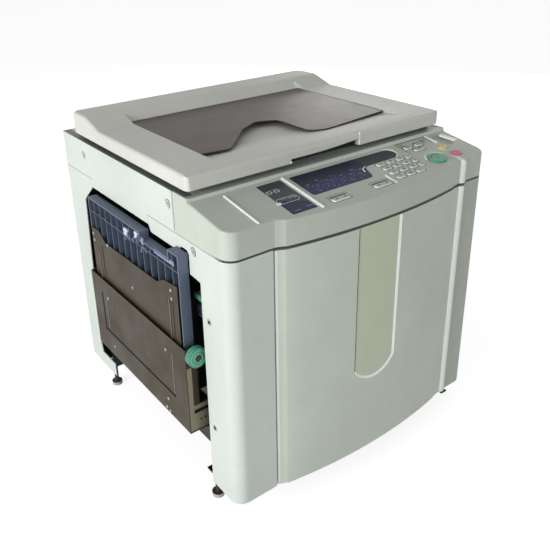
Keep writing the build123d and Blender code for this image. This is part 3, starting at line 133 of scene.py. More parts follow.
class Finish:
    """A material, or the world's background, built node by node."""

    def __init__(self, name, world=None):
        self.holder = world or bpy.data.materials.new(name)
        self.holder.use_nodes = True
        self.tree = self.holder.node_tree
        self.tree.nodes.clear()
        self.place = self.node("ShaderNodeTexCoord", output="Object")

    def node(self, kind, settings=None, inputs=None, output=0):
        """Adds a node, its settings first, then the values or links of its sockets."""
        made = self.tree.nodes.new(kind)
        for key, value in (settings or {}).items():
            if key == "stops":
                elements = made.color_ramp.elements
                while len(elements) < len(value):
                    elements.new(0.5)
                for element, (position, level) in zip(elements, value):
                    element.position = position
                    element.color = (level, level, level, 1.0)
            else:
                setattr(made, key, value)
        for key, value in (inputs or {}).items():
            if isinstance(value, Value):
                self.tree.links.new(value.socket, made.inputs[key])
            else:
                made.inputs[key].default_value = value
        return Value(self, made.outputs[output]) if made.outputs else None

    def stretched(self, scale, turn=(0.0, 0.0, 0.0)):
        return self.node("ShaderNodeMapping", None, {"Vector": self.place, "Scale": scale, "Rotation": turn})

    def noise(self, scale, detail=2.0, place=None):
        inputs = {"Vector": place or self.place, "Scale": scale, "Detail": detail}
        return self.node("ShaderNodeTexNoise", None, inputs)

    def cells(self, scale, place=None):
        return self.node("ShaderNodeTexVoronoi", None, {"Vector": place or self.place, "Scale": scale})

    def ramp(self, value, *stops):
        return self.node("ShaderNodeValToRGB", {"stops": stops}, {"Fac": value})

    def mix(self, factor, first, second):
        return self.node("ShaderNodeMix", {"data_type": "RGBA"}, {0: factor, 6: first, 7: second}, output=2)

    def along(self, axis):
        """The place along one axis, in millimetres."""
        return self.node("ShaderNodeSeparateXYZ", None, {0: self.place}, output="XYZ".index(axis)) * 1000.0

    def past(self, value, edge, soft=1.0):
        """0 before an edge, 1 past it, both in millimetres."""
        return self.ramp((value - edge) * (1.0 / soft), (0.0, 0.0), (1.0, 1.0))

    def before(self, value, edge, soft=1.0):
        """1 before an edge, 0 past it, both in millimetres."""
        return self.ramp((edge - value) * (1.0 / soft), (0.0, 0.0), (1.0, 1.0))

    def facing(self, axis, level, soft):
        """1 on surfaces turned to one side of the machine, the low side where soft is negative."""
        normal = self.node("ShaderNodeNewGeometry", output="Normal")
        turned = self.node("ShaderNodeSeparateXYZ", None, {0: normal}, output="XYZ".index(axis))
        return self.ramp((turned - level) * (1.0 / soft), (0.0, 0.0), (1.0, 1.0))

    def bump(self, height, depth):
        """A bump whose depth is in millimetres."""
        return self.node("ShaderNodeBump", None, {"Height": height, "Distance": depth * MM})

    def close(self, sockets):
        """Ends the material with its one surface shader."""
        shader = self.node("ShaderNodeBsdfPrincipled", None, sockets)
        self.node("ShaderNodeOutputMaterial", None, {"Surface": shader})
        return self.holder


# Finishes

def moulded(name, colour, rough=0.45, grain=0.7, depth=0.025, drift=0.05, shaded=None, shade=None,
            highlighted=None):
    """Moulded plastic: grain, drifting tone, handling marks, painted shade where the shade mask says, a pale
    painted highlight where the highlight mask says.
    """
    made = Finish(name)
    slow = made.noise(5.0, 3.0)
    fine = made.noise(1.0 / (grain * MM), 2.0)
    marks = made.ramp(made.noise(38.0, 4.0), (0.52, 0.0), (0.75, 1.0))
    slow = made.ramp(slow, (0.3, 0.0), (0.7, 1.0))
    tone = made.mix(slow, tinted(colour, 1 - drift), tinted(colour, 1 + drift))
    tone = made.mix(marks * 0.25, tone, tinted(colour, 0.9))
    if highlighted:
        tone = made.mix(highlighted(made), tone, paint(246, 250, 245))
    if shaded:
        tone = made.mix(shaded(made), tone, shade)
    return made.close({
        "Base Color": tone,
        "Roughness": rough + fine * 0.06 + marks * 0.08,
        "Normal": made.bump(fine, depth),
    })


def painted_steel(name, colour):
    """Baked paint on sheet steel: orange peel, pale scuffs and dusty patches."""
    made = Finish(name)
    peel = made.noise(900.0, 1.0)
    dust = made.ramp(made.noise(14.0, 5.0), (0.42, 0.0), (0.72, 1.0))
    long_grain = made.noise(260.0, 2.0, made.stretched((1.0, 0.05, 1.0), (0.5, 0.0, 0.0)))
    scuff = made.ramp(long_grain, (0.66, 0.0), (0.72, 1.0))
    tone = made.mix(dust * 0.35, colour, tinted(colour, 1.35))
    tone = made.mix(scuff * 0.30, tone, tinted(colour, 1.8))
    return made.close({
        "Base Color": tone,
        "Metallic": 0.25,
        "Specular IOR Level": 0.3,
        "Roughness": 0.44 + dust * 0.18,
        "Normal": made.bump(peel, 0.03),
    })


def panel_seam(made):
    """The shadow line under the panel's front skirt."""
    return made.before(made.along("Y"), -262.0, 30.0) * made.before(made.along("Z"), 574.4, 0.5)


def ridge_highlights(made):
    """Painted highlights on the crests of the front's two upright ridges."""
    x = made.along("X")
    right = made.past(x, 234.5, 1.5) * made.before(x, 247.0)
    left = made.before(x, -221.5) * made.past(x, -226.5, 0.5)
    low = made.before(made.along("Z"), 571.0)
    return (right * 0.8 + left * (0.12 + low * 0.35)) * made.before(made.along("Y"), -296.0, 4.0)


def ledge_shade(made):
    """Painted shade on the base's upper ledges, in front of the lid and under its sides."""
    x, y, z = (made.along(axis) for axis in "XYZ")
    front = made.past(z, 600.0, 4.0) * made.before(y, -168.0, 8.0)
    sides = made.before(x, -300.0, 4.0) + made.past(x, 300.0, 4.0)
    under = sides * made.past(z, 645.0) * made.past(y, -186.0, 6.0)
    return (front * 0.38 + under) * made.facing("Z", 0.4, 0.3)


def column_shade(made):
    """Painted shade: a darker tone on the right column's front."""
    return made.past(made.along("X"), 256.5, 2.0) * 0.42


def under_lid_shade(made):
    """Painted shade of the slit between the lid and the base, on the pad's edges."""
    x = made.along("X")
    sides = made.past(x, 292.0, 4.0) + made.before(x, -292.0, 4.0)
    return made.ramp(sides + made.before(made.along("Y"), -140.0, 6.0), (0.0, 0.0), (1.0, 1.0))


def tray_pocket_shade(made):
    """Painted shade on the sunk floors between the feed tray's ribs."""
    x = made.along("X")
    return made.past(x, -339.6, 1.6) * made.facing("X", -0.5, -0.2) * made.before(x, -321.2)


def plated_steel(name, colour, rough=0.34):
    """Zinc-plated sheet: crystal patches with a slight change of shine."""
    made = Finish(name)
    patches = made.cells(70.0)
    fine = made.noise(600.0, 3.0)
    tone = made.mix(patches, tinted(colour, 0.8), tinted(colour, 1.12))
    return made.close({
        "Base Color": tone,
        "Metallic": 0.85,
        "Roughness": rough + patches * 0.12 + fine * 0.05,
        "Normal": made.bump(fine, 0.01),
    })


def ground_steel(name, colour):
    """Ground shaft with fine rings along its length."""
    made = Finish(name)
    rings = made.noise(1500.0, 1.0, made.stretched((0.05, 1.0, 0.05)))
    return made.close({
        "Base Color": made.mix(rings, tinted(colour, 0.85), colour),
        "Metallic": 1.0,
        "Roughness": 0.22 + rings * 0.12,
        "Normal": made.bump(rings, 0.005),
    })


def rubber(name, colour, sole=None, shine=0.5):
    """Matte rubber with a dusty bloom; sole is the colour of the lowest few millimetres."""
    made = Finish(name)
    bloom = made.noise(60.0, 4.0)
    fine = made.noise(2200.0, 1.0)
    tone = made.mix(made.ramp(bloom, (0.4, 0.0), (0.7, 1.0)), colour, tinted(colour, 1.6))
    if sole:
        tone = made.mix(made.before(made.along("Z"), 9.0), tone, sole)
    return made.close({
        "Base Color": tone,
        "Roughness": 0.72 + bloom * 0.15,
        "Specular IOR Level": shine,
        "Normal": made.bump(fine, 0.02),
    })


def smoked(name, colour):
    """Smoked clear plate with long fine scratches and a film of dust."""
    made = Finish(name)
    lines = made.noise(700.0, 2.0, made.stretched((1.0, 0.02, 1.0), (0.0, 0.0, 0.7)))
    other = made.noise(500.0, 2.0, made.stretched((0.03, 1.0, 1.0), (0.0, 0.0, 0.25)))
    scratch = made.ramp(lines, (0.66, 0.0), (0.70, 1.0)) + made.ramp(other, (0.68, 0.0), (0.72, 1.0))
    dust = made.ramp(made.noise(22.0, 6.0), (0.38, 0.0), (0.70, 1.0))
    tone = made.mix(dust * 0.22, colour, tinted(colour, 1.3))
    tone = made.mix(scratch * 0.35, tone, tinted(colour, 0.45))
    return made.close({
        "Base Color": tone,
        "Roughness": 0.30 + dust * 0.05 + scratch * 0.12,
        "Specular IOR Level": 0.14,
        "Normal": made.bump(scratch, -0.01),
    })


def printed_window(name, film):
    """The printed windows: a grey and navy label left, a dark display with a grey end right."""
    made = Finish(name)
    x = made.along("X")
    y = made.along("Y")
    cloud = made.noise(40.0, 3.0)
    label_back = made.past(y + x * 0.43, -341.0, 0.8)
    label = made.mix(label_back, paint(34, 38, 66), paint(70, 76, 78))
    label = made.mix(made.past(y, -226.0, 0.6), label, paint(50, 56, 56))
    band = made.past(y - x * 0.06 + made.noise(60.0, 2.0) * 14.0, -232.0, 4.0)
    display = made.mix(band, paint(42, 45, 84), paint(26, 28, 46))
    display = made.mix(made.past(x, 44.0, 3.0), display, paint(52, 54, 58))
    tone = made.mix(made.past(x, -124.0, 1.0), label, display)
    return made.close({
        "Base Color": made.mix(cloud * 0.25, tone, film),
        "Roughness": 0.34 + cloud * 0.08,
        "Specular IOR Level": 0.15,
        "Normal": made.bump(made.noise(1800.0, 1.0), 0.004),
    })


def clear_glass(name, colour):
    """Platen glass with faint smears."""
    made = Finish(name)
    smear = made.ramp(made.noise(18.0, 4.0), (0.45, 0.0), (0.75, 1.0))
    return made.close({
        "Base Color": made.mix(smear, colour, tinted(colour, 0.92)),
        "Roughness": 0.03 + smear * 0.08,
        "Alpha": 0.32,
        "Coat Weight": 0.4,
    })


def satin_cap(name, colour, rough=0.36, lit_flank=None):
    """Key cap: satin plastic, a little smoothed by use; the flank colour is a painted highlight on its left
    and front sides.
    """
    made = Finish(name)
    fine = made.noise(2600.0, 1.0)
    worn = made.noise(120.0, 3.0)
    tone = made.mix(worn, tinted(colour, 0.94), tinted(colour, 1.06))
    if lit_flank:
        sides = made.facing("X", -0.35, -0.25) + made.facing("Y", -0.45, -0.25)
        tone = made.mix(made.ramp(sides, (0.0, 0.0), (1.0, 1.0)), tone, lit_flank)
    return made.close({
        "Base Color": tone,
        "Roughness": rough + worn * 0.10,
        "Normal": made.bump(fine, 0.012),
    })


def screen(name, colour):
    """Drum skin with its close pattern of fine holes."""
    made = Finish(name)
    holes = made.ramp(made.cells(420.0), (0.22, 0.0), (0.34, 1.0))
    return made.close({
        "Base Color": made.mix(holes, tinted(colour, 0.15), colour),
        "Metallic": 0.8,
        "Roughness": 0.55 - holes * 0.2,
        "Normal": made.bump(holes, 0.15),
    })


COVER = (202, 210, 203)
BLACK = paint(20, 21, 22)
NAVY = paint(32, 36, 58)
FINISH_TABLE = (
    ("cover_white", moulded, COVER, dict(shaded=ledge_shade, shade=tinted(paint(*COVER), 0.22))),
    ("cover_grey", moulded, (197, 205, 193), dict(highlighted=ridge_highlights, shaded=column_shade,
                                                  shade=tinted(paint(*COVER), 0.4))),
    ("panel_grey", moulded, (187, 194, 183), dict(shaded=panel_seam, shade=BLACK, highlighted=ridge_highlights)),
    ("lid_grey", moulded, (204, 206, 198), dict(rough=0.5, grain=0.9)),
    ("insert_beige", moulded, (194, 201, 177), dict(rough=0.36, grain=0.5, depth=0.01, drift=0.02)),
    ("smoked_plate", smoked, (66, 53, 45), {}),
    ("display_navy", printed_window, (90, 94, 110), {}),
    ("tray_blue", moulded, (86, 97, 115), dict(rough=0.5, drift=0.08, shaded=tray_pocket_shade, shade=NAVY)),
    ("steel_brown", painted_steel, (54, 47, 33), {}),
    # Near black for the main frame, as painted shade
    ("frame_dark", painted_steel, (18, 20, 21), {}),
    ("lift_slate", painted_steel, (30, 35, 38), {}),
    ("key_pale", satin_cap, (214, 226, 214), {}),
    ("print_green", satin_cap, (40, 92, 68), {}),
    ("print_rose", satin_cap, (168, 64, 82), {}),
    # Black for painted shade inside gaps, the notch, holes and screw recesses
    ("gap_black", rubber, (15, 15, 16), dict(shine=0.12)),
    ("screw_dark", plated_steel, (70, 74, 74), {}),
    # Paler than the tray, as a painted highlight on its ribs
    ("tray_rib", moulded, (128, 138, 168), dict(rough=0.5)),
    ("clip_pale", moulded, (206, 216, 226), dict(rough=0.4)),
    ("tray_deep", moulded, (70, 78, 96), dict(rough=0.5)),
    # A lit copy of the brown steel: painted highlights on pressed lines and the flange's face
    ("steel_edge", painted_steel, (132, 126, 108), {}),
    ("frame_steel", plated_steel, (112, 118, 120), {}),
    ("shaft_steel", ground_steel, (205, 206, 208), {}),
    ("glass_clear", clear_glass, (205, 220, 214), {}),
    ("foot_rubber", rubber, (40, 40, 41), dict(sole=paint(186, 178, 168))),
    ("roller_rubber", rubber, (96, 98, 102), {}),
    ("pad_white", moulded, (232, 232, 226), dict(rough=0.7, grain=1.6, depth=0.08, shaded=under_lid_shade,
                                                 shade=BLACK)),
    ("dial_teal", satin_cap, (78, 146, 122), dict(rough=0.4)),
    ("dial_pale", satin_cap, (128, 190, 168), dict(rough=0.4)),
    # Painted highlight on the keys' left and front sides
    ("key_grey", satin_cap, (184, 189, 178), dict(lit_flank=paint(250, 252, 248))),
    # White for print and a tab, and for painted highlights on ribs, rims, chamfers and the notch's ends
    ("rim_white", moulded, (252, 254, 250), dict(rough=0.3, grain=0.4, depth=0.01, drift=0.01)),
    # Dark for print, and for painted shadows of keys and of the inlay's left edge
    ("print_dark", satin_cap, (36, 41, 38), {}),
    ("print_pale", satin_cap, (124, 128, 156), {}),
    ("screw_bright", plated_steel, (214, 210, 198), dict(rough=0.25)),
    ("sensor_slate", moulded, (82, 88, 112), {}),
    ("key_green", satin_cap, (74, 153, 114), dict(rough=0.3)),
    ("key_red", satin_cap, (206, 92, 108), dict(rough=0.3)),
    ("key_yellow", satin_cap, (232, 192, 62), dict(rough=0.3)),
    ("dark_plastic", moulded, (52, 53, 56), dict(rough=0.5)),
    ("guide_grey", moulded, (136, 140, 146), {}),
    ("guide_dark", moulded, (26, 29, 32), {}),
    ("drum_screen", screen, (186, 188, 190), {}),
    ("drum_blue", moulded, (88, 112, 142), {}),
    ("bottle_black", satin_cap, (46, 46, 50), {}),
    ("film_brown", moulded, (196, 182, 158), dict(rough=0.55, grain=0.4)),
    ("screw_cap", moulded, (168, 178, 168), {}),
)
FINISHES = {name: make(name, paint(*colour), **options) for name, make, colour, options in FINISH_TABLE}

# The two corners of every CAD node's box
LOW = {}
HIGH = {}
for node_name in frame["nodes"]:
    LOW[node_name], HIGH[node_name] = (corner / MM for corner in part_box(node_name))


# Mesh work, in millimetres until a piece is finished

def add_bar(work, x, y, z, soft=0.0, steps=2):
    """Adds a bar between two corners, its edges rounded by soft."""
    verts = bmesh.ops.create_cube(work, size=1.0)["verts"]
    bmesh.ops.scale(work, vec=(x[1] - x[0], y[1] - y[0], z[1] - z[0]), verts=verts)
    bmesh.ops.translate(work, vec=((x[0] + x[1]) / 2, (y[0] + y[1]) / 2, (z[0] + z[1]) / 2), verts=verts)
    if soft:
        edges = {edge for vert in verts for edge in vert.link_edges}
        round_edges(work, edges, soft, steps)


def add_rod(work, axis, centre, radius, length, soft=0.0, sides=16):
    """Adds a round bar along one axis about its centre."""
    inputs = {"cap_ends": True, "segments": sides, "radius1": radius, "radius2": radius, "depth": length}
    verts = bmesh.ops.create_cone(work, **inputs)["verts"]
    turn = {"X": Matrix.Rotation(math.pi / 2, 3, "Y"), "Y": Matrix.Rotation(math.pi / 2, 3, "X")}
    if axis in turn:
        bmesh.ops.rotate(work, cent=(0, 0, 0), matrix=turn[axis], verts=verts)
    bmesh.ops.translate(work, vec=centre, verts=verts)
    if soft:
        rims = {edge for vert in verts for edge in vert.link_edges
                if edge.is_manifold and edge.calc_face_angle() > math.radians(50)}
        round_edges(work, rims, soft, 2)


def round_edges(work, edges, width, steps=2, clamp=True):
    bmesh.ops.bevel(work, geom=list(edges), offset=width, offset_type="OFFSET", segments=steps,
                    profile=0.5, material=-1, affect="EDGES", clamp_overlap=clamp)


def outline(half, corner, steps=6):
    """Points of a rounded rectangle about the origin, or of an ellipse where corner is None."""
    if corner is None:
        count = 8 * steps
        turns = [2 * math.pi * index / count for index in range(count)]
        return [(half[0] * math.cos(turn), half[1] * math.sin(turn)) for turn in turns]
    points = []
    for index, (right, back) in enumerate(((1, 1), (-1, 1), (-1, -1), (1, -1))):
        centre = (right * (half[0] - corner), back * (half[1] - corner))
        for step in range(steps + 1):
            turn = math.pi / 2 * (index + step / steps)
            points.append((centre[0] + corner * math.cos(turn), centre[1] + corner * math.sin(turn)))
    return points


def add_loops(work, loops, closed=True):
    """Extrudes a row of points from place to place, back to where it began; an open row gets flat ends."""
    verts = [work.verts.new(point) for point in loops[0]]
    after = verts[1:] + verts[:1] if closed else verts[1:]
    edges = [work.edges.new(pair) for pair in zip(verts, after)]
    every = list(verts)
    for loop in loops[1:] + loops[:1]:
        moved = bmesh.ops.extrude_edge_only(work, edges=edges)["geom"]
        edges = [item for item in moved if isinstance(item, bmesh.types.BMEdge)]
        fresh = {vert for edge in edges for vert in edge.verts}
        verts = [other for vert in verts for other in neighbours(vert) if other in fresh]
        for vert, point in zip(verts, loop):
            vert.co = point
        every += verts
    bmesh.ops.remove_doubles(work, verts=every, dist=0.0001)
    if not closed:
        bmesh.ops.holes_fill(work, edges=[edge for edge in work.edges if edge.is_boundary], sides=0)


def neighbours(vert):
    return [edge.other_vert(vert) for edge in vert.link_edges]


def add_ring(work, centre, half, corner, width, z, crest=0.0):
    """A flat or crested band around a rounded rectangle or an ellipse."""
    inner = outline(half, corner)
    wide = (half[0] + width, half[1] + width)
    outer = outline(wide, None if corner is None else corner + width)
    middle = [((a[0] + b[0]) / 2, (a[1] + b[1]) / 2) for a, b in zip(inner, outer)]

    def lifted(points, level):
        return [(centre[0] + x, centre[1] + y, level) for x, y in points]

    loops = [lifted(inner, z[0]), lifted(inner, z[1])]
    if crest:
        loops.append(lifted(middle, z[1] + crest))
    add_loops(work, loops + [lifted(outer, z[1]), lifted(outer, z[0])])


def add_arc(work, centre, radii, width, turns, z, crest=0.0, steps=20):
    """Part of an elliptic band between two angles in degrees."""
    angles = [math.radians(turns[0] + (turns[1] - turns[0]) * index / steps) for index in range(steps + 1)]

    def row(grow, level):
        across, along = radii[0] + grow, radii[1] + grow
        spots = [(across * math.cos(turn), along * math.sin(turn)) for turn in angles]
        return [(centre[0] + x, centre[1] + y, level) for x, y in spots]

    loops = [row(0, z[0]), row(0, z[1])]
    if crest:
        loops.append(row(width / 2, z[1] + crest))
    add_loops(work, loops + [row(width, z[1]), row(width, z[0])], closed=False)


def add_prism(work, profile, x):
    """A bar along X with a given outline in Y and Z."""
    face = work.faces.new([work.verts.new((x[0], y, z)) for y, z in profile])
    moved = bmesh.ops.extrude_face_region(work, geom=[face])["geom"]
    verts = [item for item in moved if isinstance(item, bmesh.types.BMVert)]
    bmesh.ops.translate(work, vec=(x[1] - x[0], 0.0, 0.0), verts=verts)


def add_glyph(work, text, size, centre, height, weight=0.0):
    """Raised generic character, standing on the local plane; weight thickens its strokes."""
    curve = bpy.data.curves.new("glyph", "FONT")
    curve.body = text
    curve.size = size
    curve.extrude = height / 2
    curve.offset = weight
    curve.align_x = "CENTER"
    curve.align_y = "CENTER"
    curve.resolution_u = 3
    holder = bpy.data.objects.new("glyph", curve)
    mesh = bpy.data.meshes.new_from_object(holder)
    mesh.transform(Matrix.Translation((centre[0], centre[1], centre[2] + height / 2)))
    work.from_mesh(mesh)
    bpy.data.objects.remove(holder)
    bpy.data.curves.remove(curve)
    bpy.data.meshes.remove(mesh)


def ended(work, name):
    """The mesh that a work becomes."""
    mesh = bpy.data.meshes.new(name)
    work.to_mesh(mesh)
    work.free()
    return mesh


def put_down(name, data):
    """A new object in the scene."""
    made = bpy.data.objects.new(name, data)
    bpy.context.scene.collection.objects.link(made)
    return made


def add_part(work, part, place):
    """Moves a small mesh to its place and adds it to a larger one."""
    bmesh.ops.transform(part, matrix=place, verts=part.verts)
    mesh = ended(part, "part")
    work.from_mesh(mesh)
    bpy.data.meshes.remove(mesh)


def sharp_edges(work):
    limit = math.radians(ROUNDED_ANGLE)
    return [edge for edge in work.edges if edge.is_manifold and edge.calc_face_angle() > limit]


def facing_left(x, y=0.0, z=0.0):
    """A flat frame on the machine's left: its x toward the front, its y up, its z out."""
    return Matrix(((0, 0, -1, x), (-1, 0, 0, y), (0, 1, 0, z), (0, 0, 0, 1)))


def facing_front(x, y, z):
    return Matrix(((1, 0, 0, x), (0, 0, -1, y), (0, 1, 0, z), (0, 0, 0, 1)))


def facing_back(x, y, z):
    return Matrix(((-1, 0, 0, x), (0, 0, 1, y), (0, 1, 0, z), (0, 0, 0, 1)))


def skin_tree(node):
    """A CAD node's skin, for straight lines to meet."""
    mesh = frame["nodes"][node].data
    spots = [vert.co for vert in mesh.vertices]
    return BVHTree.FromPolygons(spots, [face.vertices for face in mesh.polygons])


def against(node, start, ahead):
    """The frame of a CAD node's skin where a straight line meets it: its z axis points out of the skin."""
    hit, normal, _, _ = skin_tree(node).ray_cast(Vector(start) * MM, Vector(ahead))
    out = normal if normal.dot(Vector(ahead)) < 0 else -normal
    across = Vector((0, 0, 1)).cross(out).normalized()
    turn = Matrix((across, out.cross(across), out)).transposed().to_4x4()
    return Matrix.Translation(hit / MM) @ turn


def finish_piece(name, work, finish, body, place=None):
    """Ends a mesh: brings it to its place in metres, gives it its finish and its body."""
    if place is not None:
        bmesh.ops.transform(work, matrix=place, verts=work.verts)
    bmesh.ops.recalc_face_normals(work, faces=work.faces)
    bmesh.ops.scale(work, vec=(MM, MM, MM), verts=work.verts)
    register(name, work, finish, body)


def bars(name, finish, body, *rows, place=None):
    """A piece of bars; a row gives a bar's x, y and z, then how far and how finely its edges are rounded."""
    work = bmesh.new()
    for row in rows:
        add_bar(work, *row)
    finish_piece(name, work, finish, body, place)


def register(name, work, finish, body, replaces=()):
    mesh = ended(work, name)
    mesh.shade_smooth()
    mesh.set_sharp_from_angle(angle=math.radians(SHARP_ANGLE))
    mesh.materials.append(FINISHES[finish])
    piece = put_down(name, mesh)
    weighted = piece.modifiers.new("even_normals", "WEIGHTED_NORMAL")
    weighted.keep_sharp = True
    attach(piece, body)
    if replaces:
        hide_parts(*replaces)


def lid_rim_edges(work):
    """The upper outer edges along the lid's sides, its rear corners and its back."""
    floor = (HIGH["platen_cover"].z - 30.0) * MM
    front = (LOW["platen_cover"].y + 8.5) * MM
    middle = (LOW["platen_cover"].y + HIGH["platen_cover"].y) / 2 * MM
    picked = []
    for edge in sharp_edges(work):
        if any(vert.co.z < floor or vert.co.y < front for vert in edge.verts):
            continue
        centre = (edge.verts[0].co + edge.verts[1].co) / 2
        away = Vector((centre.x, centre.y - middle, 0.0))
        walls = [face.normal for face in edge.link_faces if abs(face.normal.z) < 0.3]
        tops = [face.normal for face in edge.link_faces if face.normal.z > 0.7]
        outer = abs(centre.x) > 0.28 or centre.y > HIGH["platen_cover"].y * MM - 0.036
        if outer and len(walls) == 1 and len(tops) == 1 and walls[0].dot(away) > 0:
            picked.append(edge)
    return picked


def softened(node, finish, body, width):
    """A copy of a CAD node with its sharp edges rounded, which stands for it."""
    work = bmesh.new()
    work.from_mesh(frame["nodes"][node].data)
    bmesh.ops.remove_doubles(work, verts=work.verts, dist=0.002 * MM)
    bmesh.ops.dissolve_limit(work, angle_limit=math.radians(0.2), verts=work.verts, edges=work.edges)
    if node == "platen_cover":
        round_edges(work, lid_rim_edges(work), LID_RIM * MM, 5, clamp=False)
    round_edges(work, sharp_edges(work), width * MM, 2)
    register(node + "_shell", work, finish, body, (node,))


BODY_OF = {node: body for body, nodes in frame["record"]["behaviour"]["bodies"].items() for node in nodes}
SLOT_OF = {row["node"]: row["material_slot"] for row in frame["record"]["subparts"]}

# How far the edges of these nodes are rounded
SOFT_EDGES = {
    "control_panel": 0.6, "front_door": 1.0, "door_insert": 0.3, "left_front_cover": 0.8,
    "left_upper_cover": 0.8, "left_rear_cover": 0.8, "right_front_cover": 0.8, "right_side_cover": 0.8,
    "rear_cover": 0.6, "scanner_base": 0.8, "platen_cover": 1.2, "pocket_plate": 0.5, "feed_tray": 0.5,
    "feed_bracket": 0.4, "feed_tray_plate": 0.3, "receiving_tray": 0.6, "master_box": 0.8,
    "feed_guide_front": 0.5, "feed_guide_rear": 0.5, "position_dial": 0.3,
}
# Nodes that have another finish than their slot's own; the main frame's near black is painted shade
INSIDE_FINISH = {"main_frame": "frame_dark", "feed_elevator": "lift_slate", "feed_guide_front": "guide_dark",
                 "feed_guide_rear": "guide_dark"}
for node_name, node_object in frame["nodes"].items():
    finish_name = INSIDE_FINISH.get(node_name, SLOT_OF[node_name])
    if node_name in SOFT_EDGES:
        softened(node_name, finish_name, BODY_OF[node_name], SOFT_EDGES[node_name])
    else:
        node_object.data.materials.clear()
        node_object.data.materials.append(FINISHES[finish_name])


# Panel details

def rib_highlights():
    """Painted highlights on the crests of the panel's raised ribs."""
    work = bmesh.new()
    for x, front, back, wide, high in ((-254.0, 6.0, 106.0, 3.0, 2.2), (-127.0, -6.0, 110.0, 4.0, 2.4),
                                       (254.5, 78.0, 112.0, 2.5, 1.8), (52.0, -4.0, 27.0, 2.0, 1.4)):
        half = wide / 2 + 0.4
        add_bar(work, (x - half, x + half), (front - 0.4, back + 0.4), (-0.2, high + 0.4), 1.1, 3)
    finish_piece("rib_highlights", work, "rim_white", "body", place=PANEL)


def display_rim_highlight():
    """Painted highlight on the lip around the right end of the display."""
    work = bmesh.new()
    add_arc(work, (127.0, 91.0), (15.4, 15.4), 2.2, (-75.0, 95.0), (-0.2, 0.5), 0.7)
    add_arc(work, (45.5, 55.0), (15.5, 15.5), 2.0, (95.0, 175.0), (-0.2, 0.4), 0.6)
    finish_piece("display_rim_highlight", work, "rim_white", "body", place=PANEL)


def display_marks():
    """Faint generic segments printed on the display and the label."""
    work = bmesh.new()
    level = (-0.35, -0.12)
    for row in range(6):
        for column in range(15):
            wave = math.sin(row * 5.1 + column * 2.7) + math.sin(column * 1.3 + row * 2.2)
            x = -106.0 + column * 9.3 + 2.2 * math.sin(row * 1.9 + column)
            s = 41.0 + row * 6.4 + 0.9 * wave
            if wave < 0.15 or (x > 20.0 and s < 62.0):
                continue
            add_bar(work, (x, x + 1.4 + 3.4 * wave), (s, s + 0.7 + 0.5 * wave), level)
    for x, s, wide, deep in ((-176.0, 50.0, 13.0, 5.0), (-160.0, 47.5, 9.0, 6.5), (-149.0, 45.5, 9.0, 7.0),
                             (-178.0, 84.0, 20.0, 1.4), (-150.0, 12.0, 16.0, 1.6), (-176.0, 9.0, 12.0, 1.6)):
        add_bar(work, (x, x + wide), (s, s + deep), level)
    finish_piece("display_marks", work, "print_pale", "body", place=PANEL)
    work = bmesh.new()
    for x in (-178.5, -162.5):
        add_ring(work, (x, 78.5), (4.8, 3.0), 2.9, 0.9, (-0.35, -0.1))
    add_ring(work, (-163.0, 45.5), (22.5, 8.0), 7.8, 0.6, (-0.35, -0.15))
    finish_piece("label_outlines", work, "rim_white", "body", place=PANEL)
    bars("label_tab", "rim_white", "body", ((-192.0, -182.5), (36.0, 42.5), (-0.3, 1.0), 0.8), place=PANEL)


def function_key_top(x, s):
    """How far the top of a function key stands out of the panel's face."""
    ahead = PANEL.to_3x3() @ Vector((0.0, 0.0, -1.0))
    hit = skin_tree("function_keys").ray_cast(PANEL @ Vector((x, s, 40.0)) * MM, ahead)[0]
    return (PANEL.inverted() @ (hit / MM)).z


def key_shadow_lines():
    """Painted shadow lines at the right and back of every key, dark lines around and behind the rockers, and
    the keys' own marks.
    """
    work = bmesh.new()
    # Painted shadow lines sit a little toward the right and back of each key
    shadow_offset = 0.7
    for column in range(3):
        for row in range(4):
            x = NUMBER_START[0] + NUMBER_STEP[0] * column + shadow_offset
            s = NUMBER_START[1] + NUMBER_STEP[1] * row + shadow_offset
            add_ring(work, (x, s), (11.2, 5.7), 5.2, 1.2, SHADOW_AND_PRINT)
            index = row * 3 + column + 1
            key = f"number_key_{index}"
            middle = PANEL.inverted() @ ((LOW[key] + HIGH[key]) / 2)
            glyph = bmesh.new()
            add_glyph(glyph, NUMBER_MARKS[index - 1], 8.4, (middle.x, middle.y, 2.36), 0.18, 0.32)
            finish_piece(f"number_mark_{index}", glyph, "print_dark", f"number_{index}", place=PANEL)
    for s in SIDE_KEY_ROWS:
        add_ring(work, (SIDE_KEY_X, s + shadow_offset), (8.2, 6.2), 5.4, 1.2, SHADOW_AND_PRINT)
    for x, s, half_x, half_s in FUNCTION_KEYS:
        add_ring(work, (x + shadow_offset, s + shadow_offset), (half_x + shadow_offset, half_s + shadow_offset), min(half_s, 5.0), 0.9, SHADOW_AND_PRINT)
    for x in ROCKERS:
        add_ring(work, (x, 7.2), (22.0, 10.4), 1.6, 0.9, SHADOW_AND_PRINT)
        add_bar(work, (x - 19.0, x + 19.0), (11.2, 14.4), SHADOW_AND_PRINT)
    finish_piece("key_shadow_lines", work, "print_dark", "body", place=PANEL)
    work = bmesh.new()
    for middle in ROCKERS:
        for x in (middle - 10.0, middle + 10.0):
            top = function_key_top(x, 3.6)
            add_rod(work, "Z", (x, 3.6, top + 0.02), 1.9, 0.24)
    dashes = [(SIDE_KEY_X, s, 2.2) for s in SIDE_KEY_ROWS]
    dashes += [(x, s, wide) for (x, s, _, _), wide in zip(FUNCTION_KEYS, (3.4, 3.4, 4.6))]
    for x, s, wide in dashes:
        top = function_key_top(x, s)
        add_bar(work, (x - wide, x + wide), (s - 0.7, s + 0.7), (top - 0.1, top + 0.14))
    finish_piece("function_marks", work, "print_dark", "functions", place=PANEL)


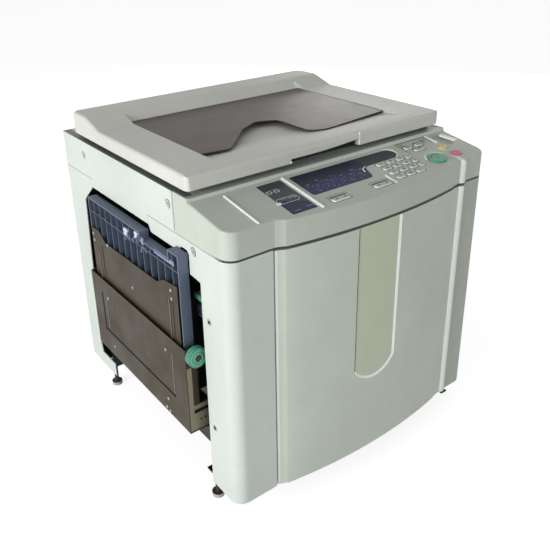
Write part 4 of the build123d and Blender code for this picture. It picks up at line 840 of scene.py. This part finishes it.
def function_field_lines():
    """Outline and captions' dashes of the function-key field."""
    work = bmesh.new()
    level = (-0.2, 0.18)
    for x, s in (((165.0, 252.0), (112.4, 113.6)), ((165.0, 166.2), (69.0, 113.0)),
                 ((250.4, 251.6), (88.0, 113.0))):
        add_bar(work, x, s, level)
    for x, s, wide in ((171.0, 98.6, 16.0), (203.0, 99.6, 17.0), (226.0, 103.5, 20.0), (186.0, 81.4, 24.0),
                       (226.0, 97.0, 12.0), (171.0, 105.5, 10.0)):
        add_bar(work, (x, x + wide), (s, s + 1.3), level)
    finish_piece("function_lines", work, "print_dark", "body", place=PANEL)


def big_key_rims():
    """Pale crescent behind the start key as a painted highlight on its bezel, rims of the stop and reset
    keys, and the three keys' own marks.
    """
    work = bmesh.new()
    add_arc(work, (200.5, 30.0), (23.4, 19.6), 4.6, (20.0, 172.0), (-0.2, 0.9), 1.5)
    add_ring(work, STOP_KEY, (13.0, 11.5), None, 1.6, (-0.2, 0.7), 0.7)
    add_ring(work, (247.0, 57.0), (9.0, 8.5), None, 1.4, (-0.2, 0.7), 0.6)
    finish_piece("key_rims", work, "key_pale", "body", place=PANEL)
    work = bmesh.new()
    add_arc(work, (198.0, 28.0), (13.0, 9.6), 3.2, (35.0, 160.0), (3.7, 3.98), 0.1)
    add_rod(work, "Z", (198.0, 26.5, 3.95), 2.6, 0.16, sides=24)
    finish_piece("start_mark", work, "print_green", "start", place=PANEL)
    work = bmesh.new()
    add_ring(work, STOP_KEY, (4.2, 3.6), 1.2, 1.1, (3.1, 3.32))
    finish_piece("stop_mark", work, "print_rose", "stop", place=PANEL)
    bars("reset_mark", "print_dark", "reset", ((244.6, 249.4), (56.4, 57.8), (3.1, 3.3)), place=PANEL)


def trough_highlight():
    """Painted highlight on the trough's right wall, a long rounded slope."""
    turn = PANEL @ Matrix.Translation((300.5, 87.5, 0.0)) @ Matrix.Rotation(math.radians(19.0), 4, "Z")
    bars("trough_highlight", "rim_white", "body", ((-6.2, 6.2), (-19.0, 19.0), (-3.5, 0.9), 3.0, 4), place=turn)


# Door details

def skin_y(tree, x, z):
    """Where a line toward the back first meets a skin."""
    hit = tree.ray_cast(Vector((x, -500.0, z)) * MM, Vector((0.0, 1.0, 0.0)))[0]
    return hit.y / MM


def insert_highlight():
    """Painted highlight down the inlay's right chamfer and around its foot, and a line of painted shade down
    its left edge.
    """
    door = skin_tree("front_door")
    sheet = skin_tree("door_insert")
    middle, half, low, tip, top = -5.0, 53.0, 236.0, 30.0, 567.0
    radius = (half ** 2 + tip ** 2) / (2 * tip)
    spread = math.asin(half / radius)
    stations = [(middle + half, z, -1.0, 0.0, 5.5) for z in range(int(top), int(low + tip), -20)]
    for index in range(21):
        turn = -math.pi / 2 + spread * (1 - index / 10)
        x, z = math.cos(turn), math.sin(turn)
        stations.append((middle + radius * x, low + radius * (1 + z), -x, -z, 5.5 - 3.0 * index / 20))
    rows = []
    for offset, lift, tree in ((-1.2, -0.6, door), (-1.2, 0.05, door), (-0.6, 0.6, door), (None, 0.1, sheet),
                               (None, -0.5, sheet)):
        row = []
        for x, z, across, up, width in stations:
            step = width if offset is None else offset
            spot = (x + across * step, z + up * step)
            row.append((spot[0], skin_y(tree, *spot) - lift, spot[1]))
        rows.append(row)
    work = bmesh.new()
    add_loops(work, rows, closed=False)
    finish_piece("insert_highlight", work, "rim_white", "door")
    left = middle - half
    y = skin_y(door, left - 1.5, 400.0)
    bars("insert_edge_shade", "print_dark", "door",
         ((left - 0.7, left + 0.9), (y - 0.12, y + 1.4), (low + tip, top)))


# Lid details

def notch_lining():
    """Painted shade inside the finger notch, the rounded lip above it, and painted highlights on the notch's
    ends.
    """
    front = LOW["platen_cover"].y
    left, right = NOTCH
    work = bmesh.new()
    # The dark lining is painted shade inside the notch
    lining = [(front + 0.6, 672.8), (front + 21.8, 665.2), (front + 21.8, 658.4), (front + 21.2, 658.4),
              (front + 21.2, 664.6), (front + 0.6, 672.2)]
    add_prism(work, lining, (left + 0.2, right - 0.2))
    finish_piece("notch_lining", work, "gap_black", "lid")

    def arc(radius, angles):
        turns = [math.radians(angle) for angle in angles]
        return [(front + 6.0 + radius * math.cos(turn), 678.0 + radius * math.sin(turn)) for turn in turns]

    work = bmesh.new()
    lip = arc(6.35, range(180, 80, -15)) + arc(5.7, range(90, 190, 15))
    add_prism(work, [(front - 0.35, NOTCH_TOP - 0.1)] + lip + [(front + 0.3, NOTCH_TOP - 0.1)], NOTCH)
    finish_piece("notch_lip", work, "lid_grey", "lid")
    work = bmesh.new()
    rows = []
    for depth, hanging in ((0.3, False), (0.3, True), (1.9, True), (1.9, False)):
        row = []
        for index in range(25):
            share = index / 24
            drop = 6.5 - 5.0 * share + 2.2 * math.sin(math.pi * share)
            x = left + (right - left) * share
            row.append((x, front + depth, NOTCH_TOP - drop if hanging else NOTCH_TOP + 0.4))
        rows.append(row)
    add_loops(work, rows, closed=False)
    finish_piece("notch_apron", work, "lid_grey", "lid")
    deep = (front - 0.9, front + 3.0)
    bars("notch_end_highlights", "rim_white", "lid", ((right - 0.4, right + 1.6), deep, (659.0, 683.4), 0.6),
         ((left - 1.6, left + 2.0), deep, (658.4, 662.4), 0.6))


# Left side details

def screws(name, spots, node, body, radius=3.0, finish="screw_bright"):
    """Round-headed screws on a left-facing skin, their cross recesses drawn dark as painted shade."""
    heads = bmesh.new()
    crosses = bmesh.new()
    reach = radius * 0.6
    slot = (1.1, 1.24)
    for y, z in spots:
        place = against(node, (-400.0, y, z), (1.0, 0.0, 0.0))
        head = bmesh.new()
        add_rod(head, "Z", (0, 0, 0.5), radius, 1.4, 0.5, sides=20)
        add_part(heads, head, place)
        cross = bmesh.new()
        add_bar(cross, (-reach, reach), (-0.4, 0.4), slot)
        add_bar(cross, (-0.4, 0.4), (-reach, reach), slot)
        add_part(crosses, cross, place)
    finish_piece(name + "_heads", heads, finish, body)
    finish_piece(name + "_crosses", crosses, "gap_black", body)


def tray_fittings():
    """Two pale clips, a catch and three arched ribs in the feed tray's face; the ribs are paler as painted
    highlights, the clip holes darker as painted shade.
    """
    face = LOW["feed_tray"].x
    work = bmesh.new()
    for y, z, wide, high in CLIPS:
        add_bar(work, (face - 0.6, face + 5.0), (y - wide, y + wide), (z - high, z + high), 1.4)
        front = y - wide
        add_bar(work, (face - 0.3, face + 5.0), (front - 5.0, front + 1.0), (z + 1.0, z + high - 1.0), 0.8)
    finish_piece("tray_clips", work, "clip_pale", "feed_table")
    bars("tray_stiffeners", "tray_rib", "feed_table",
         ((face - 0.3, face + 3.0), (-58.0, -50.0), (519.0, 533.0), 1.2),
         ((face + 1.5, face + 3.0), (-168.0, -96.0), (519.0, 528.0), 1.2))
    work = bmesh.new()
    for y, z, _, _ in CLIPS:
        add_rod(work, "X", (face - 0.7, y, z), 1.6, 0.5, sides=20)
    finish_piece("tray_clip_holes", work, "tray_deep", "feed_table")
    work = bmesh.new()
    for y, z in ((10.0, 500.0), (-25.0, 509.0), (-57.0, 500.0)):
        add_arc(work, (-y, z), (11.0, 13.0), 1.5, (30.0, 180.0), (-7.0, -0.4))
    finish_piece("tray_arches", work, "tray_rib", "feed_table", place=facing_left(face))


def pressed_lines():
    """Painted highlights along the pressed lines in the underplate and the carrier."""
    plate = ((152.0, 357.0, 428.0), (-147.0, 362.0, 448.0))
    carrier = ((134.0, 249.0, 319.0), (-150.0, 243.0, 334.0))
    for name, node, body, lines in (("underplate_lines", "feed_tray_plate", "feed_table", plate),
                                    ("carrier_lines", "feed_bracket", "feed_carrier", carrier)):
        skin = (LOW[node].x - 0.5, LOW[node].x + 0.6)
        bars(name, "steel_edge", body, *[(skin, (y - 0.8, y + 0.8), z, 0.4) for y, *z in lines])


def side_fittings():
    """Slots of the screw caps drawn dark as painted shade, the column's dark screws and the block on the lift
    rod.
    """
    work = bmesh.new()
    for y, z in CAPS + COLUMN_SCREWS:
        place = against("cover_screws", (-400.0, y, z + 1.5), (1.0, 0.0, 0.0))
        slot = bmesh.new()
        add_bar(slot, (-4.4, 4.4), (-2.3, -0.9), (-0.2, 0.12))
        add_part(work, slot, place)
    finish_piece("cap_slots", work, "print_dark", "body")
    screws("column_screws", COLUMN_SCREWS, "cover_screws", "body", 3.4, "screw_dark")
    bars("rod_sensor", "sensor_slate", "body", ((-298.0, -242.0), (-193.0, -166.0), (406.0, 431.0), 2.0),
         ((-300.5, -297.0), (-188.0, -173.0), (411.0, 416.0), 0.8))


def cover_lines():
    """Dark seams of the left covers, and painted shade in the sunk rings around the screw caps."""
    skin = (LEFT_FACE - 0.12, LEFT_FACE + 0.6)
    bars("cover_seam", "print_dark", "body", (skin, (-146.4, -145.2), (576.0, 654.0)))
    work = bmesh.new()
    for y, z in CAPS:
        ring = bmesh.new()
        add_arc(ring, (0.0, 0.0), (7.4, 7.4), 1.2, (-80.0, 170.0), (-0.3, 0.1))
        add_part(work, ring, facing_left(LEFT_FACE, y, z))
    finish_piece("cap_rings", work, "screw_dark", "body")


def back_fittings():
    """Bezel and pins of the power inlet, marks of the power switch."""
    inlet = facing_back(230.0, HIGH["rear_cover"].y, 130.0)
    work = bmesh.new()
    add_ring(work, (0, 0), (14.2, 10.7), 1.5, 4.0, (-0.4, 1.6), 0.3)
    finish_piece("inlet_bezel", work, "dark_plastic", "body", place=inlet)
    spots = ((-7.0, -2.0), (0.0, 3.5), (7.0, -2.0))
    pins = [((x - 1.0, x + 1.0), (z - 2.4, z + 2.4), (-19.0, -5.0), 0.5) for x, z in spots]
    bars("inlet_pins", "screw_bright", "body", *pins, place=inlet)
    for name, text, z in (("switch_on_mark", "I", 486.0), ("switch_off_mark", "O", 474.0)):
        place = against("power_switch", (400.0, -266.5, z), (-1.0, 0.0, 0.0))
        work = bmesh.new()
        add_glyph(work, text, 6.0, (0.0, 0.0, -0.06), 0.2)
        finish_piece(name, work, "rim_white", "switch", place=place)


def carrier_groove():
    """Painted shade along the open groove pressed around the carrier's field."""
    face = LOW["feed_bracket"].x
    side, low, top = GROOVE
    half = 3.0
    skin = (face - 0.12, face + 0.4)
    bars("carrier_groove", "gap_black", "feed_carrier",
         (skin, (side - half, side + half), (low - half, top + 1.0)),
         (skin, (-side - 1.0, side + half), (low - half, low + half)))


def carrier_flange():
    """Painted light on the face of the carrier's front flange, and painted shade in its slot and two holes.
    """
    face = LOW["feed_bracket"].y
    left = LOW["feed_bracket"].x
    skin = (face - 0.3, face + 0.4)
    arm = (left + 11.0, HIGH["feed_bracket"].x - 1.5)
    bars("flange_face", "steel_edge", "feed_carrier", ((left + 1.5, left + 11.0), skin, (184.0, 326.0)),
         (arm, skin, (230.0, 239.5)), (arm, skin, (184.0, 222.0)))
    work = bmesh.new()
    add_bar(work, arm, (face - 0.2, face + 0.4), (222.0, 230.0))
    for x in (left + 24.0, left + 34.0):
        add_rod(work, "Y", (x, face - 0.3, 205.0), 2.2, 0.3)
    finish_piece("flange_holes", work, "gap_black", "feed_carrier")


def dial_face():
    """Raised ring and metal hexagon of the position dial, and the lever's grip."""
    centre = (LOW["position_dial"] + HIGH["position_dial"]) / 2
    side = facing_front(centre.x, LOW["position_dial"].y, centre.z)
    work = bmesh.new()
    add_ring(work, (0, 0), (7.6, 7.6), None, 1.6, (-0.3, 0.5), 0.5)
    add_ring(work, (0, 0), (14.6, 14.6), None, 1.2, (-0.3, 0.3), 0.4)
    finish_piece("dial_rings", work, "dial_pale", "feed_dial", place=side)
    work = bmesh.new()
    add_rod(work, "Z", (0, 0, 0.0), 5.6, 1.4, 0.4, sides=6)
    finish_piece("dial_hexagon", work, "screw_dark", "feed_dial", place=side)
    bars("lever_grip", "dial_teal", "feed_lever",
         ((-305.0, -290.0), (-206.0, -170.0), (446.5, 457.5), 2.4, 3))


insert_highlight()
rib_highlights()
display_rim_highlight()
display_marks()
key_shadow_lines()
function_field_lines()
big_key_rims()
trough_highlight()
notch_lining()
carrier_groove()
carrier_flange()
dial_face()
screws("underplate_screws", UNDERPLATE_SCREWS, "feed_tray_plate", "feed_table")
screws("carrier_screws", CARRIER_SCREWS, "feed_bracket", "feed_carrier")
tray_fittings()
pressed_lines()
side_fittings()
cover_lines()
back_fittings()


# Floor, lamps and camera, in metres

VIEWPOINT = (-0.84025, -1.11129, 1.06976)
VIEW_ANGLES = (-35.562, 23.556, -1.638)
LENS = 45.03
SHIFT = (0.0382, -0.1048)


def stage_floor():
    """Pale floor that turns white to the camera and keeps the soft shadow."""
    made = Finish("floor_pale")
    seen = made.node("ShaderNodeLightPath", output="Is Camera Ray")
    mirrored = made.node("ShaderNodeLightPath", output="Is Glossy Ray")
    cloud = made.noise(0.7, 2.0)
    tone = made.mix(cloud, paint(176, 177, 176), paint(184, 184, 184))
    matte = made.node("ShaderNodeBsdfDiffuse", None, {"Color": tone})
    glow = made.node("ShaderNodeEmission", None, {"Strength": (seen + mirrored) * 0.80})
    both = made.node("ShaderNodeAddShader", None, {0: matte, 1: glow})
    made.node("ShaderNodeOutputMaterial", None, {"Surface": both})
    work = bmesh.new()
    bmesh.ops.create_circle(work, cap_ends=True, segments=64, radius=14.0)
    mesh = ended(work, "floor")
    mesh.materials.append(made.holder)
    floor = put_down("floor", mesh)


def add_lamp(name, place, target, size, power):
    """A soft square lamp that faces its target."""
    light = bpy.data.lights.new(name, "AREA")
    light.shape = "SQUARE"
    light.size = size
    light.energy = power
    lamp = put_down(name, light)
    lamp.location = place
    lamp.rotation_mode = "QUATERNION"
    lamp.rotation_quaternion = (Vector(target) - Vector(place)).to_track_quat("-Z", "Y")


def sky(left, right):
    """White to the camera and in reflections, softer as light and dimmer toward the machine's right."""
    world = bpy.data.worlds.new("studio")
    bpy.context.scene.world = world
    made = Finish("studio", world)
    straight = None
    for ray in ("Is Camera Ray", "Is Glossy Ray", "Is Transmission Ray"):
        seen = made.node("ShaderNodeLightPath", output=ray)
        straight = seen if straight is None else seen.combine("MAXIMUM", straight, seen)
    ahead = made.node("ShaderNodeTexCoord", output="Generated")
    across = made.node("ShaderNodeSeparateXYZ", None, {0: ahead}, output=0)
    light = made.ramp(across * 0.5 + 0.5, (0.25, left), (0.85, right))
    colour = made.mix(straight, light, (1.0, 1.0, 1.0, 1.0))
    back = made.node("ShaderNodeBackground", None, {"Color": colour})
    made.node("ShaderNodeOutputWorld", None, {"Surface": back})


def place_camera():
    """The photograph's viewpoint, found by fitting the machine's straight edges."""
    data = bpy.data.cameras.new("camera")
    data.sensor_width = 36.0
    data.lens = LENS
    data.shift_x, data.shift_y = SHIFT
    camera = put_down("camera", data)
    azimuth, pitch, roll = (math.radians(angle) for angle in VIEW_ANGLES)
    level = Vector((-math.sin(azimuth), math.cos(azimuth), 0.0))
    ahead = level * math.cos(pitch) - Vector((0.0, 0.0, math.sin(pitch)))
    right = ahead.cross(Vector((0, 0, 1))).normalized()
    up = right.cross(ahead)
    level_right = right * math.cos(roll) + up * math.sin(roll)
    level_up = up * math.cos(roll) - right * math.sin(roll)
    turn = Matrix((level_right, level_up, -ahead)).transposed()
    camera.matrix_world = Matrix.Translation(VIEWPOINT) @ turn.to_4x4()
    bpy.context.scene.camera = camera


stage_floor()
sky(left=0.42, right=0.25)
add_lamp("key", (-3.6, -0.5, 0.9), (0.0, 0.0, 0.4), 2.2, 120.0)
add_lamp("fill", (-0.6, -3.6, 1.1), (0.0, 0.0, 0.4), 2.5, 30.0)
add_lamp("back", (3.1, 2.3, 0.45), (0.0, 0.0, 0.35), 2.0, 60.0)
place_camera()
bpy.context.scene.view_settings.view_transform = "Standard"
